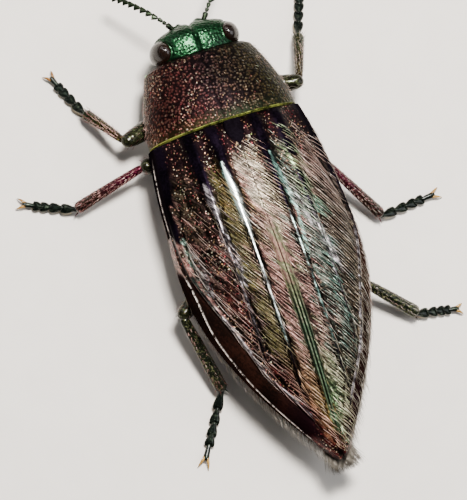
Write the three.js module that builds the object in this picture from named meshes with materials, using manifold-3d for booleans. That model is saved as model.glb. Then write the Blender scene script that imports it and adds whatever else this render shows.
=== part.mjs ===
// A stout, ribbed and hairy jewel beetle (family Buprestidae), standing still.
//
// Millimetres. The head points to -Y, the tail to +Y, the beetle's left to +X, and the floor
// is z = 0. Everything is drawn from the front edge of the wing cases (y = 0) on the middle
// line (x = 0). At the end the whole animal is moved so that the middle of its bounding box
// stands over the origin.

import * as THREE from 'three';
import { mergeVertices } from 'three/addons/utils/BufferGeometryUtils.js';
import Module from 'manifold-3d';

const wasm = await Module();
wasm.setup();

// ------------------------------------------------------------------ driving dimensions

const CLEARANCE = 0.05; // between pieces that fit into each other
const PLATE_GAP = 0.05; // between neighbouring plates of the body
const WING_ROOM = 0.1; // between the body and the wing cases that lie over it

const WING = {
  length: 17.0,
  halfWidth: 4.45, // at the widest place
  widestAt: 0.38, // share of the length, from the front
  shoulderNarrowing: 0.157, // how much narrower the front edge is
  shoulderPower: 1.7,
  crown: 2.8, // height of the back over the side rim
  shoulderCrown: 2.4,
  crownAt: 0.35,
  crownFall: 0.6, // exponent of the fall to the tail
  frontLip: 0.25, // how far the very front edge rolls down
  frontLipLength: 0.035,
  rimHeight: 2.2, // side rim over the floor
  rimLift: 0.25, // the rim rises this much by the tail
  squareness: 2.3, // exponent of the superellipse across the back
  shell: 0.55, // thickness of the wing case
  tipShare: 0.42, // largest share of the half width that the shell takes near the tip
  gap: 0.05, // slit along the middle
  end: 0.98, // share of the length where the tip is cut off
  steps: 15,
  stepSpread: 1.12, // exponent that draws the first rings together
  slimBelow: 1.2, // half width under which ribs and beads fade out
};

const HOLLOW_SIDES = 6; // faces across each half of the hollow under the wing cases

// Long ribs of each wing case. offset is the distance from the middle line, fades is the
// stretch of the length over which the rib sinks into the surface.
const RIB = {
  inner: { offset: 1.05, fades: [0.66, 0.82] },
  middle: { offset: 2.2, fades: [0.52, 0.66] },
  outer: { across: 0.93, dip: 0.17, dipAt: 0.66, dipSpread: 0.24, fades: [0.86, 0.97] },
  height: 0.11,
  halfWidthFront: 0.3,
  halfWidthRear: 0.13,
  seamHalfWidth: 0.19,
  seamHeight: 0.06,
  rimBead: 0.06,
  spacing: 0.11, // least distance between ribs, as a share of the half width
  narrowingEnds: 0.6, // share of the length where a rib has reached its rear width
  sideStations: [0.3, 0.62, 0.9], // rings' corners between the outer rib and the rim
};

const BELLY = {
  height: 0.95, // over the floor
  tailRise: 1.2,
  riseFrom: 0.45,
  risePower: 2.2,
  inset: 0.08, // the body's side stands this far inside the rim
  tailInset: 0.2, // largest share of the half width that the inset takes
  leastDepth: 0.2, // from the rim down to the keel
  roundness: 0.9, // exponent of the outline from side to keel
  sideSteps: 4,
  steps: 3,
  // where the body's plates meet, as shares of the wing length
  mesosternum: [0.004, 0.09],
  metasternum: [0.09, 0.355],
  ventrites: [0.355, 0.53, 0.65, 0.76, 0.87, 0.962],
};

const PRONOTUM = {
  length: 3.75,
  halfWidthBack: 3.7,
  halfWidthFront: 2.62,
  sidePower: 1.7,
  rimHeightBack: 2.15,
  rimHeightFront: 1.95,
  crownBack: 2.4,
  crownFront: 1.8,
  crownSwell: 0.2,
  squareness: 2.25,
  gap: 0.06, // to the wing cases
  inset: 0.06,
  keelHeightBack: 0.98,
  keelHeightFront: 1.3,
  roundness: 0.8, // exponent of the outline from side to keel
  steps: 6,
  topSteps: 9,
  sideSteps: 5,
};

const SHIELD = {
  length: 1.2,
  halfWidth: 0.45,
  widestAt: 0.36, // share of the length
  bluntness: 1.72, // the larger, the blunter in front
  leafPower: 0.55,
  thickness: 0.34,
  edgeDrop: 0.14, // its edges are this much thinner
  sink: 0.26,
  slope: 0.06,
  front: -0.01,
  steps: 6,
};

const HEAD = {
  back: -3.2,
  front: -5.35,
  halfWidth: 2.1,
  halfHeight: 1.17,
  centreHeight: 2.46,
  widestAt: 0.45,
  backScale: 0.74,
  squareness: 2.35,
  faceFill: 0.95, // how far the face closes at its front end
  faceBend: 3,
  facePower: 1.8,
  steps: 7,
  sides: 16,
};
const EYE = { x: 1.72, y: -4.28, z: 2.72, width: 0.52, length: 0.62, height: 0.86, lean: 0.22 };
const MANDIBLE = { x: 0.36, y: -4.86, z: 1.34, width: 0.3, length: 0.3, height: 0.46, lean: 0.35 };
const ANTENNA = {
  segments: 11,
  radius: 0.25,
  root: [0.62, -4.95, 2.62],
  bends: [[0.55, -0.85, 0.28], [1.35, -1.85, 0.12], [2.25, -2.75, -0.5]], // from the root
  sides: 6,
};

const LEG = {
  femurRadius: 0.46,
  femurDepth: 0.4,
  kneeRadius: 0.3,
  tibiaRadius: 0.26,
  tibiaEnd: 0.33,
  tibiaDepth: 0.94, // height of the shin as a share of its width
  tarsusHalfWidth: 0.34,
  tarsusHalfHeight: 0.27,
  tarsusSegments: 5,
  soleHeight: 0.21, // middle of the foot over the floor
  clawLength: 0.5,
  clawRadius: 0.17,
  clawSpread: 0.55,
  clawTipHeight: 0.12,
  clawTaper: 0.72,
  femurFrom: 0.12, // share of the way from hip to knee where the thigh starts
  sides: 8,
  footSides: 6,
};

// The stance: hip, knee and ankle of each leg, and its toe over the floor.
const STANCE = {
  left_fore: {
    hip: [1.0, -1.9, 1.0],
    knee: [4.5, -0.98, 1.72],
    ankle: [5.73, -3.1, 0.55],
    toe: [6.55, -5.1],
  },
  left_mid: {
    hip: [1.15, 1.45, 0.98],
    knee: [4.02, 0.4, 1.66],
    ankle: [7.66, 1.2, 0.55],
    toe: [9.75, 0.2],
  },
  left_hind: {
    hip: [1.45, 5.6, 1.0],
    knee: [4.72, 7.75, 1.7],
    ankle: [3.9, 11.6, 0.55],
    toe: [5.7, 14.35],
  },
  right_fore: {
    hip: [-1.0, -1.9, 1.0],
    knee: [-4.4, -1.25, 1.7],
    ankle: [-5.45, -3.65, 0.55],
    toe: [-6.35, -5.7],
  },
  right_mid: {
    hip: [-1.15, 1.45, 0.98],
    knee: [-4.1, 2.6, 1.68],
    ankle: [-6.3, 6.0, 0.55],
    toe: [-9.0, 5.78],
  },
  right_hind: {
    hip: [-1.45, 5.6, 1.0],
    knee: [-4.15, 8.95, 1.5],
    ankle: [-6.3, 11.0, 0.55],
    toe: [-8.1, 11.35],
  },
};
// Half axes of the hip pieces of each pair of legs.
const COXA = {
  fore: [0.72, 0.6, 0.52],
  mid: [0.74, 0.6, 0.52],
  hind: [1.15, 0.52, 0.5],
};

// ------------------------------------------------------------------ finishes

const finish = (color, roughness, metalness) =>
  new THREE.MeshStandardMaterial({ color, roughness, metalness });

const FINISH = {
  wing: finish(0x6b5238, 0.35, 0.85),
  pronotum: finish(0x6a3226, 0.35, 0.85),
  shield: finish(0x140f14, 0.2, 0.6),
  head: finish(0x16301f, 0.35, 0.85),
  eye: finish(0x1c130c, 0.12, 0.1),
  belly: finish(0x3c3a20, 0.4, 0.8),
  femur: finish(0x2e2418, 0.35, 0.8),
  tibia: finish(0x59262a, 0.35, 0.8),
  tarsus: finish(0x1e2a1c, 0.45, 0.6),
  antenna: finish(0x1a1a16, 0.45, 0.6),
};

// ------------------------------------------------------------------ small helpers

const lerp = THREE.MathUtils.lerp;
const clamp = THREE.MathUtils.clamp;
const vec = (x, y, z) => new THREE.Vector3(x, y, z);
const share = (value, from, to) => clamp((value - from) / (to - from), 0, 1);
const smooth = (value, from, to) => THREE.MathUtils.smoothstep(value, from, to);
const range = (count) => Array.from({ length: count }, (_, i) => i);

// Turns a closed shape inside out when its faces point in.
function facingOut(geometry) {
  const place = geometry.getAttribute('position');
  const index = geometry.getIndex();
  const [a, b, c] = [vec(), vec(), vec()];
  let volume = 0;
  for (let i = 0; i < index.count; i += 3) {
    a.fromBufferAttribute(place, index.getX(i));
    b.fromBufferAttribute(place, index.getX(i + 1));
    c.fromBufferAttribute(place, index.getX(i + 2));
    volume += a.dot(b.cross(c));
  }
  if (volume < 0) {
    for (let i = 0; i < index.count; i += 3) {
      const first = index.getX(i);
      index.setX(i, index.getX(i + 2));
      index.setX(i + 2, first);
    }
  }
  return geometry;
}

// A closed skin over a row of rings with the same number of points. Each ring has its points
// in space and, for the two flat ends, the same points as a plane outline.
function skin(rings) {
  const size = rings[0].points.length;
  const positions = rings.flatMap((ring) => ring.points.flatMap((p) => [p.x, p.y, p.z]));
  const index = [];
  for (let i = 0; i + 1 < rings.length; i += 1) {
    for (let j = 0; j < size; j += 1) {
      const next = (j + 1) % size;
      const [a, b] = [i * size + j, i * size + next];
      const [c, d] = [a + size, b + size];
      index.push(a, b, d, a, d, c);
    }
  }
  const cap = (ring, start, wanted) => {
    const turn = THREE.ShapeUtils.area(ring.outline) > 0 ? 1 : -1;
    for (const [a, b, c] of THREE.ShapeUtils.triangulateShape(ring.outline, [])) {
      const side = THREE.ShapeUtils.area([ring.outline[a], ring.outline[b], ring.outline[c]]);
      const forward = side * turn * wanted > 0;
      index.push(start + a, start + (forward ? b : c), start + (forward ? c : b));
    }
  };
  cap(rings[0], 0, -1);
  cap(rings[rings.length - 1], (rings.length - 1) * size, 1);
  const geometry = new THREE.BufferGeometry();
  geometry.setAttribute('position', new THREE.Float32BufferAttribute(positions, 3));
  geometry.setIndex(index);
  return facingOut(geometry);
}

// A ring across the body: an outline of (x, z) pairs at the distance y.
const crossRing = (outline, y) => ({
  outline,
  points: outline.map((p) => vec(p.x, y, p.y)),
});

// A tube along a curve, turned so that it lies on a face and not on an edge. size(s) gives
// its half width and half height at the share s.
function tube(curve, rings, sides, size, floor = -Infinity) {
  const up = vec(0, 0, 1);
  const turn = sides % 4 === 0 ? 0.5 : 0;
  return skin(range(rings + 1).map((i) => {
    const s = i / rings;
    const centre = curve.getPoint(s);
    const along = curve.getTangent(s);
    const across = vec().crossVectors(along, up).normalize();
    const over = vec().crossVectors(across, along).normalize();
    const { width, height } = size(s);
    const outline = range(sides).map((k) => {
      const angle = ((k + turn) / sides) * Math.PI * 2;
      return new THREE.Vector2(width * Math.cos(angle), height * Math.sin(angle));
    });
    const points = outline.map((p) => {
      const point = centre.clone().addScaledVector(across, p.x).addScaledVector(over, p.y);
      point.z = Math.max(point.z, floor);
      return point;
    });
    return { outline, points };
  }));
}

// An egg with three half axes, leaned about the Y axis.
function egg(centre, axes, lean = 0) {
  const geometry = new THREE.SphereGeometry(1, 9, 6);
  geometry.scale(...axes);
  geometry.rotateY(lean);
  geometry.translate(...centre);
  return geometry;
}

// Closed geometry to a solid that can be cut, and back.
function solid(geometry) {
  const bare = geometry.clone();
  bare.deleteAttribute('normal');
  bare.deleteAttribute('uv');
  const merged = mergeVertices(bare, 1e-4);
  return new wasm.Manifold(new wasm.Mesh({
    numProp: 3,
    vertProperties: new Float32Array(merged.getAttribute('position').array),
    triVerts: new Uint32Array(merged.getIndex().array),
  }));
}

function shapeOf(body) {
  const mesh = body.getMesh();
  const geometry = new THREE.BufferGeometry();
  geometry.setAttribute('position', new THREE.BufferAttribute(mesh.vertProperties, 3));
  geometry.setIndex(new THREE.BufferAttribute(mesh.triVerts, 1));
  return geometry;
}

const without = (body, ...cutters) => cutters.reduce((rest, cutter) => rest.subtract(cutter), body);

// ------------------------------------------------------------------ the body's curves

function wingHalfWidth(t) {
  if (t < WING.widestAt) {
    const before = (WING.widestAt - t) / WING.widestAt;
    return WING.halfWidth * (1 - WING.shoulderNarrowing * before ** WING.shoulderPower);
  }
  const after = (t - WING.widestAt) / (1 - WING.widestAt);
  return WING.halfWidth * Math.cos((after * Math.PI) / 2);
}

function wingCrown(t) {
  const lip = WING.frontLip * (1 - share(t, 0, WING.frontLipLength)) ** 2;
  if (t < WING.crownAt) {
    const rise = Math.sin((t / WING.crownAt) * (Math.PI / 2));
    return lerp(WING.shoulderCrown, WING.crown, rise) - lip;
  }
  const fall = (t - WING.crownAt) / (1 - WING.crownAt);
  return WING.crown * Math.cos((fall * Math.PI) / 2) ** WING.crownFall;
}

const wingRim = (t) => WING.rimHeight + WING.rimLift * t * t;

function bellyHeight(t) {
  const rise = share(t, BELLY.riseFrom, 1) ** BELLY.risePower;
  return BELLY.height + BELLY.tailRise * rise;
}

// Height of the back over the rim, at a share f of the half width.
const overRim = (f, crown, power) => crown * (1 - Math.min(f, 1) ** power) ** (1 / power);

// Half width and crown of the hollow under the wing cases.
function hollow(t) {
  const halfWidth = wingHalfWidth(t);
  const crown = wingCrown(t);
  return {
    halfWidth: halfWidth - Math.min(WING.shell, WING.tipShare * halfWidth),
    crown: crown - Math.min(WING.shell, WING.tipShare * crown),
  };
}

// ------------------------------------------------------------------ wing cases

// Shares of the half width where the three ribs run.
function ribPlaces(t) {
  const halfWidth = wingHalfWidth(t);
  const away = (t - RIB.outer.dipAt) / RIB.outer.dipSpread;
  const outer = RIB.outer.across - RIB.outer.dip * Math.exp(-away * away);
  const middle = Math.min(RIB.middle.offset / halfWidth, outer - RIB.spacing);
  const inner = Math.min(RIB.inner.offset / halfWidth, middle - RIB.spacing);
  return { inner, middle, outer };
}

// Stations across one wing case, each a share of the half width and the rib's height there.
function wingStations(t) {
  const halfWidth = wingHalfWidth(t);
  const place = ribPlaces(t);
  const half = Math.min(
    lerp(RIB.halfWidthFront, RIB.halfWidthRear, smooth(t, 0, RIB.narrowingEnds)) / halfWidth,
    RIB.spacing * 0.45,
  );
  const height = (rib) => RIB.height * (1 - smooth(t, ...rib.fades));
  const seam = Math.min(RIB.seamHalfWidth / halfWidth, 0.12);
  const stations = [[0, RIB.seamHeight], [seam * 0.7, RIB.seamHeight], [seam * 1.2, 0]];
  for (const name of ['inner', 'middle', 'outer']) {
    const at = place[name];
    const last = stations[stations.length - 1][0];
    if (name !== 'inner') stations.push([(last + at - half) / 2, 0]);
    stations.push([at - half, 0], [at, height(RIB[name])]);
    if (name !== 'outer') stations.push([at + half, 0]);
  }
  for (const part of RIB.sideStations) {
    stations.push([lerp(place.outer, 1, part), 0]);
  }
  stations.push([1, RIB.rimBead]);
  return stations;
}

function wingCase(side) {
  const rings = range(WING.steps + 1).map((i) => {
    const t = WING.end * (i / WING.steps) ** WING.stepSpread;
    const halfWidth = wingHalfWidth(t);
    const crown = wingCrown(t);
    const rim = wingRim(t);
    const power = WING.squareness;
    const slimming = share(halfWidth, 0, WING.slimBelow);
    const outer = wingStations(t).map(([f, raise]) => {
      const over = overRim(f, crown, power);
      const steepness = (over / crown) ** (power - 1) / crown;
      const tilt = new THREE.Vector2(f ** (power - 1) / halfWidth, steepness);
      tilt.normalize().multiplyScalar(raise * slimming);
      return new THREE.Vector2(f * halfWidth + tilt.x, rim + over + tilt.y);
    });
    const inside = hollow(t);
    const inner = range(HOLLOW_SIDES + 1).map((k) => {
      const angle = (1 - k / HOLLOW_SIDES) * (Math.PI / 2);
      const f = Math.sin(angle) ** (2 / power);
      const over = k === 0 ? 0 : overRim(f, inside.crown, power);
      return new THREE.Vector2(f * inside.halfWidth, rim + over);
    });
    // squeezed a little towards the rim, which leaves the slit along the middle
    const slit = WING.gap / 2;
    const outline = [...outer, ...inner].map(
      (p) => new THREE.Vector2(side * (slit + p.x * (1 - slit / halfWidth)), p.y),
    );
    return crossRing(outline, t * WING.length);
  });
  return skin(rings);
}

// ------------------------------------------------------------------ plates of the body

// Corners from the side edge round to the keel: side * cos^roundness across, depth * sin down.
function underside(side, rim, keel, roundness, steps) {
  return range(steps + 1).map((k) => {
    const angle = (k / steps) * (Math.PI / 2);
    const across = side * Math.cos(angle) ** roundness;
    return new THREE.Vector2(across, rim - (rim - keel) * Math.sin(angle));
  });
}

// Half outline of the body under the wing cases, from the top middle down to the keel.
function bodyOutline(t) {
  const { halfWidth: room, crown: roof } = hollow(t);
  const rim = wingRim(t) - CLEARANCE;
  const last = HOLLOW_SIDES;
  const half = range(last + 1).map((k) => {
    const f = Math.sin((k / last) * (Math.PI / 2)) ** (2 / WING.squareness);
    const reach = room - WING_ROOM;
    const over = overRim(f, roof - WING_ROOM, WING.squareness);
    return new THREE.Vector2(f * reach, k === last ? rim : rim + CLEARANCE + over);
  });
  const side = wingHalfWidth(t) - Math.min(BELLY.inset, BELLY.tailInset * wingHalfWidth(t));
  const keel = Math.min(bellyHeight(t), rim - BELLY.leastDepth);
  return mirrored([...half, ...underside(side, rim, keel, BELLY.roundness, BELLY.sideSteps)]);
}

// Closes a half outline, which runs from the middle line round one side to the middle line.
function mirrored(half) {
  const other = half.slice(1, -1).reverse().map((p) => new THREE.Vector2(-p.x, p.y));
  half[0].x = 0;
  half[half.length - 1].x = 0;
  return [...half, ...other];
}

function bodyPlate([from, to], steps = BELLY.steps) {
  const start = from * WING.length + PLATE_GAP / 2;
  const end = to * WING.length - PLATE_GAP / 2;
  return skin(range(steps + 1).map((i) => {
    const y = lerp(start, end, i / steps);
    return crossRing(bodyOutline(y / WING.length), y);
  }));
}

// ------------------------------------------------------------------ front of the body

const collar = {
  halfWidth: (s) => lerp(PRONOTUM.halfWidthBack, PRONOTUM.halfWidthFront, s ** PRONOTUM.sidePower),
  rim: (s) => lerp(PRONOTUM.rimHeightBack, PRONOTUM.rimHeightFront, s),
  crown: (s) => lerp(PRONOTUM.crownBack, PRONOTUM.crownFront, s)
    + PRONOTUM.crownSwell * Math.sin(s * Math.PI),
  y: (s) => -lerp(PRONOTUM.gap, PRONOTUM.length, s),
};

function pronotum() {
  return skin(range(PRONOTUM.steps + 1).map((i) => {
    const s = i / PRONOTUM.steps;
    const last = PRONOTUM.topSteps;
    const half = range(last + 1).map((k) => {
      const f = Math.sin((k / last) * (Math.PI / 2)) ** (2 / PRONOTUM.squareness);
      const over = k === last ? 0 : overRim(f, collar.crown(s), PRONOTUM.squareness);
      return new THREE.Vector2(f * collar.halfWidth(s), collar.rim(s) + over);
    });
    half.push(new THREE.Vector2(0, collar.rim(s)));
    return crossRing(mirrored(half), collar.y(s));
  }));
}

function prosternum() {
  return skin(range(PRONOTUM.steps + 1).map((i) => {
    const s = i / PRONOTUM.steps;
    const rim = collar.rim(s) - PLATE_GAP;
    const keel = lerp(PRONOTUM.keelHeightBack, PRONOTUM.keelHeightFront, s);
    const side = collar.halfWidth(s) - PRONOTUM.inset;
    const under = underside(side, rim, keel, PRONOTUM.roundness, PRONOTUM.sideSteps);
    return crossRing(mirrored([new THREE.Vector2(0, rim), ...under]), collar.y(s));
  }));
}

function head(grow = 0) {
  return skin(range(HEAD.steps + 1).map((i) => {
    const s = i / HEAD.steps;
    const back = (HEAD.widestAt - s) / HEAD.widestAt;
    const fore = (s - HEAD.widestAt) / (1 - HEAD.widestAt);
    const scale = s < HEAD.widestAt
      ? 1 - (1 - HEAD.backScale) * back * back
      : (1 - HEAD.faceFill * fore ** HEAD.faceBend) ** (1 / HEAD.facePower);
    const outline = range(HEAD.sides).map((k) => {
      const angle = (k / HEAD.sides) * Math.PI * 2;
      const round = (value) => Math.sign(value) * Math.abs(value) ** (2 / HEAD.squareness);
      return new THREE.Vector2(
        round(Math.cos(angle)) * (HEAD.halfWidth * scale + grow),
        HEAD.centreHeight + round(Math.sin(angle)) * (HEAD.halfHeight * scale + grow),
      );
    });
    const stretch = grow * Math.sign(s - 0.5) * (i === 0 || i === HEAD.steps ? 1 : 0);
    return crossRing(outline, lerp(HEAD.back, HEAD.front, s) - stretch);
  }));
}

const eye = (side) => egg(
  [side * EYE.x, EYE.y, EYE.z],
  [EYE.width, EYE.length, EYE.height],
  -side * EYE.lean,
);

const mandible = (side) => egg(
  [side * MANDIBLE.x, MANDIBLE.y, MANDIBLE.z],
  [MANDIBLE.width, MANDIBLE.length, MANDIBLE.height],
  side * MANDIBLE.lean,
);

// Each feeler leaves the face inside the eye, arches forward and droops at its tip. Its
// segments widen towards their far ends.
function antenna(side) {
  const [x, y, z] = ANTENNA.root;
  const curve = new THREE.CatmullRomCurve3([[0, 0, 0], ...ANTENNA.bends].map(
    ([dx, dy, dz]) => vec(side * (x + dx), y + dy, z + dz),
  ));
  return tube(curve, ANTENNA.segments * 2, ANTENNA.sides, (s) => {
    const within = (s * ANTENNA.segments) % 1;
    const wide = ANTENNA.radius * (s > 0.97 ? 0.7 : 0.96 + 0.2 * within);
    return { width: wide, height: ANTENNA.radius };
  });
}

// The small smooth shield between the wing cases: a long leaf, blunt in front.
function shield(grow = 0) {
  const top = wingRim(0.03) + wingCrown(0.03);
  return skin(range(SHIELD.steps + 1).map((i) => {
    const s = i / SHIELD.steps;
    const away = 2 * (s - SHIELD.widestAt);
    const leaf = (1 - away ** 2 / SHIELD.bluntness) ** SHIELD.leafPower;
    const half = SHIELD.halfWidth * leaf + grow;
    const y = lerp(SHIELD.front, SHIELD.length, s) + (s - 0.5) * 2 * grow;
    const low = top - SHIELD.sink - grow;
    const lift = SHIELD.slope * Math.min(y, 1);
    const outline = range(SHIELD.steps + 1).map((k) => {
      const across = 1 - (2 * k) / SHIELD.steps;
      const bulge = SHIELD.thickness - SHIELD.edgeDrop * across * across + grow * 2;
      return new THREE.Vector2(across * half, low + bulge + lift);
    });
    outline.push(new THREE.Vector2(-half, low), new THREE.Vector2(half, low));
    return crossRing(outline, y);
  }));
}

// ------------------------------------------------------------------ legs

const swell = (s) => Math.sin(Math.PI * clamp(s, 0, 1)) ** 0.7;
const line = (a, b) => new THREE.LineCurve3(a, b);

// Draws a line out at both ends, so that a cutter reaches past the piece it copies.
function stretched(a, b, by) {
  const along = b.clone().sub(a).setLength(by);
  return line(a.clone().sub(along), b.clone().add(along));
}

function coxa(stance, axes, grow = 0) {
  return egg(stance.hip, axes.map((axis) => axis + grow));
}

// The thigh swells in its middle and ends in a round knee.
function femur(hip, knee, grow = 0) {
  return tube(stretched(hip, knee, LEG.kneeRadius * 0.8 + grow), 6, LEG.sides, (s) => {
    const end = Math.sqrt(1 - Math.max(0, (s - 0.9) / 0.1) ** 2 * 0.75);
    return {
      width: lerp(LEG.kneeRadius, LEG.femurRadius, swell(s)) * end + grow,
      height: lerp(LEG.kneeRadius, LEG.femurDepth, swell(s)) * end + grow,
    };
  });
}

// The shin widens a little towards the foot.
function tibia(knee, ankle, grow = 0) {
  return tube(stretched(knee, ankle, grow + 0.02), 3, LEG.sides, (s) => {
    const radius = lerp(LEG.tibiaRadius, LEG.tibiaEnd, s * s);
    return { width: radius + grow, height: radius * LEG.tibiaDepth + grow };
  });
}

// The foot: five lobed segments that lie along the floor, and two claws.
function tarsus(ankle, toe) {
  const along = toe.clone().sub(ankle).setZ(0).normalize();
  const curve = new THREE.CatmullRomCurve3([
    ankle.clone(),
    ankle.clone().lerp(toe, 0.22).setZ(LEG.soleHeight + 0.06),
    ankle.clone().lerp(toe, 0.6).setZ(LEG.soleHeight),
    toe.clone(),
  ]);
  const lobes = tube(curve, LEG.tarsusSegments * 2, LEG.footSides, (s) => {
    const within = s === 1 ? 1 : (s * LEG.tarsusSegments) % 1;
    const wide = 0.72 + 0.34 * smooth(within, 0, 0.7);
    const slim = lerp(0.82, 1, Math.sin(s * Math.PI));
    return {
      width: LEG.tarsusHalfWidth * wide * slim,
      height: LEG.tarsusHalfHeight * lerp(0.94, 1, within),
    };
  }, 0);
  const across = vec(-along.y, along.x, 0);
  return [-1, 1].reduce((foot, side) => {
    const root = toe.clone().addScaledVector(along, -0.12).addScaledVector(across, side * 0.1);
    const tip = toe.clone().addScaledVector(along, LEG.clawLength)
      .addScaledVector(across, side * LEG.clawLength * LEG.clawSpread).setZ(LEG.clawTipHeight);
    const bend = root.clone().lerp(tip, 0.55).setZ(LEG.soleHeight + 0.1);
    const claw = tube(new THREE.CatmullRomCurve3([root, bend, tip]), 3, 5, (s) => {
      const radius = LEG.clawRadius * (1 - LEG.clawTaper * s);
      return { width: radius, height: radius };
    }, 0);
    return foot.add(solid(claw));
  }, solid(lobes));
}

function buildLeg(name) {
  const stance = STANCE[name];
  const [side, pair] = name.split('_');
  const hip = vec(...stance.hip);
  const knee = vec(...stance.knee);
  const ankle = vec(...stance.ankle);
  const toe = vec(...stance.toe, LEG.soleHeight);
  // the thigh leaves the hip piece a little way along it
  const root = hip.clone().lerp(knee, LEG.femurFrom);
  const axes = COXA[pair];
  const shin = solid(tibia(knee, ankle));
  return {
    name: `${side}_${pair}`,
    pieces: {
      coxa: solid(coxa(stance, axes)),
      femur: without(solid(femur(root, knee)), solid(coxa(stance, axes, CLEARANCE))),
      tibia: without(shin, solid(femur(root, knee, CLEARANCE))),
      tarsus: without(tarsus(ankle, toe), solid(tibia(knee, ankle, CLEARANCE))),
    },
    cutters: [
      solid(coxa(stance, axes, CLEARANCE)),
      solid(femur(root, knee, CLEARANCE)),
      solid(tibia(knee, ankle, CLEARANCE)),
    ],
  };
}

// ------------------------------------------------------------------ assembly

const beetle = new THREE.Group();
beetle.name = 'jewel_beetle';

function add(parent, name, body, material) {
  const mesh = new THREE.Mesh(body.isBufferGeometry ? body : shapeOf(body), material);
  mesh.name = name;
  parent.add(mesh);
  return mesh;
}

const sides = { left: 1, right: -1 };
const legs = Object.keys(STANCE).map(buildLeg);
const legRoom = legs.flatMap((leg) => leg.cutters);
const headRoom = solid(head(CLEARANCE));
const shieldRoom = solid(shield(CLEARANCE));

const trunk = new THREE.Group();
beetle.add(trunk);
for (const [name, side] of Object.entries(sides)) {
  add(trunk, `elytron_${name}`, without(solid(wingCase(side)), shieldRoom), FINISH.wing);
}
add(trunk, 'scutellum', shield(), FINISH.shield);
const foreplate = solid(bodyPlate(BELLY.mesosternum, 2));
const breastplate = solid(bodyPlate(BELLY.metasternum));
add(trunk, 'mesosternum', without(foreplate, shieldRoom, ...legRoom), FINISH.belly);
add(trunk, 'metasternum', without(breastplate, ...legRoom), FINISH.belly);
BELLY.ventrites.slice(1).forEach((end, i) => {
  const plate = solid(bodyPlate([BELLY.ventrites[i], end], 2));
  add(trunk, `ventrite_${i + 1}`, without(plate, ...legRoom), FINISH.belly);
});

const forebody = new THREE.Group();
beetle.add(forebody);
add(forebody, 'pronotum', without(solid(pronotum()), headRoom), FINISH.pronotum);
add(forebody, 'prosternum', without(solid(prosternum()), headRoom, ...legRoom), FINISH.belly);
add(forebody, 'head', head(), FINISH.head);
for (const [name, side] of Object.entries(sides)) {
  add(forebody, `eye_${name}`, without(solid(eye(side)), headRoom), FINISH.eye);
  add(forebody, `mandible_${name}`, without(solid(mandible(side)), headRoom), FINISH.eye);
  add(forebody, `antenna_${name}`, without(solid(antenna(side)), headRoom), FINISH.antenna);
}

for (const leg of legs) {
  const group = new THREE.Group();
  beetle.add(group);
  add(group, `coxa_${leg.name}`, leg.pieces.coxa, FINISH.femur);
  add(group, `femur_${leg.name}`, leg.pieces.femur, FINISH.femur);
  add(group, `tibia_${leg.name}`, leg.pieces.tibia, FINISH.tibia);
  add(group, `tarsus_${leg.name}`, leg.pieces.tarsus, FINISH.tarsus);
}

// the middle of the animal's box stands over the origin, its feet on the floor
const box = new THREE.Box3().setFromObject(beetle);
const middle = box.getCenter(vec());
beetle.position.set(-middle.x, -middle.y, -box.min.z);
beetle.updateMatrixWorld(true);

export default beetle;
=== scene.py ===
"""Finish of a ribbed, hairy jewel beetle that stands on a pale floor.

Lengths inside the script are millimetres of the beetle: x across from the middle line (its
left is +x), y back from the front edge of the wing cases, z up from the floor. `to_frame`
puts them into the frame's metres. The shapes are surfaces worked out on grids.
"""

import math

import bpy
import numpy as np
from mathutils import Matrix, Vector

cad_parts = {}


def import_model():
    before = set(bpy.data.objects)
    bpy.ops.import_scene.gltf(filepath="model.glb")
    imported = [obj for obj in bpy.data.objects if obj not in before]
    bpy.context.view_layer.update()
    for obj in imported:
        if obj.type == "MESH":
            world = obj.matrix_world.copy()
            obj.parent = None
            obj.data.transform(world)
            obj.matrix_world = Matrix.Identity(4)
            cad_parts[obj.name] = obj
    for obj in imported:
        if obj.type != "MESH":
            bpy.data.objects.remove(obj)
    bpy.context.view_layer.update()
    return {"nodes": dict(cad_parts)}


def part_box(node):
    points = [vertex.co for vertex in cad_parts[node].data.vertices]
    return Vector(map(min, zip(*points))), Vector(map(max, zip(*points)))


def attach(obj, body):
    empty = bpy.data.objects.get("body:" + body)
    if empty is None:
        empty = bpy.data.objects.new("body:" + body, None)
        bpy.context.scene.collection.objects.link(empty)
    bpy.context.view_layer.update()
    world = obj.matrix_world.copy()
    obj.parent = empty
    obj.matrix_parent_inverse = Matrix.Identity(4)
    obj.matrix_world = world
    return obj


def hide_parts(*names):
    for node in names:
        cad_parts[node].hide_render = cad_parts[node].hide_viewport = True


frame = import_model()

# ---- measures and small helpers ----

WING_LOW, WING_HIGH = (np.array(corner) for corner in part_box("elytron_left"))
WING_LENGTH = 17.0
WING_END = 0.98  # share of the wing curve's length where its tip is cut
MM = (WING_HIGH[1] - WING_LOW[1]) / (WING_LENGTH * WING_END)
ORIGIN = np.array([(WING_LOW[0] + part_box("elytron_right")[1][0]) / 2, WING_LOW[1], 0.0])

RNG = np.random.default_rng(41)
SIDES = {"left": 1, "right": -1}
UP = np.array([0, 0, 1.0])

# spacing and radius of the pits, and the seed that scatters them
PITS = {
    "wing": (0.155, 0.085, 7), "collar": (0.15, 0.085, 3), "flank": (0.17, 0.09, 5),
    "head": (0.14, 0.08, 9), "thigh": (0.15, 0.085, 31), "shin": (0.15, 0.085, 33),
}
PIT_DEPTH = 0.022


def to_frame(points):
    """Beetle millimetres to the frame's metres."""
    return np.asarray(points, dtype=float) * MM + ORIGIN


def cad_points(node):
    """Vertices of a CAD node in beetle millimetres."""
    mesh = frame["nodes"][node].data
    flat = np.empty(len(mesh.vertices) * 3)
    mesh.vertices.foreach_get("co", flat)
    return (flat.reshape(-1, 3) - ORIGIN) / MM


def cad_box(node):
    """Lowest and highest corner of a CAD node in beetle millimetres."""
    return [(np.array(corner) - ORIGIN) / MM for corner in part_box(node)]


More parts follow.
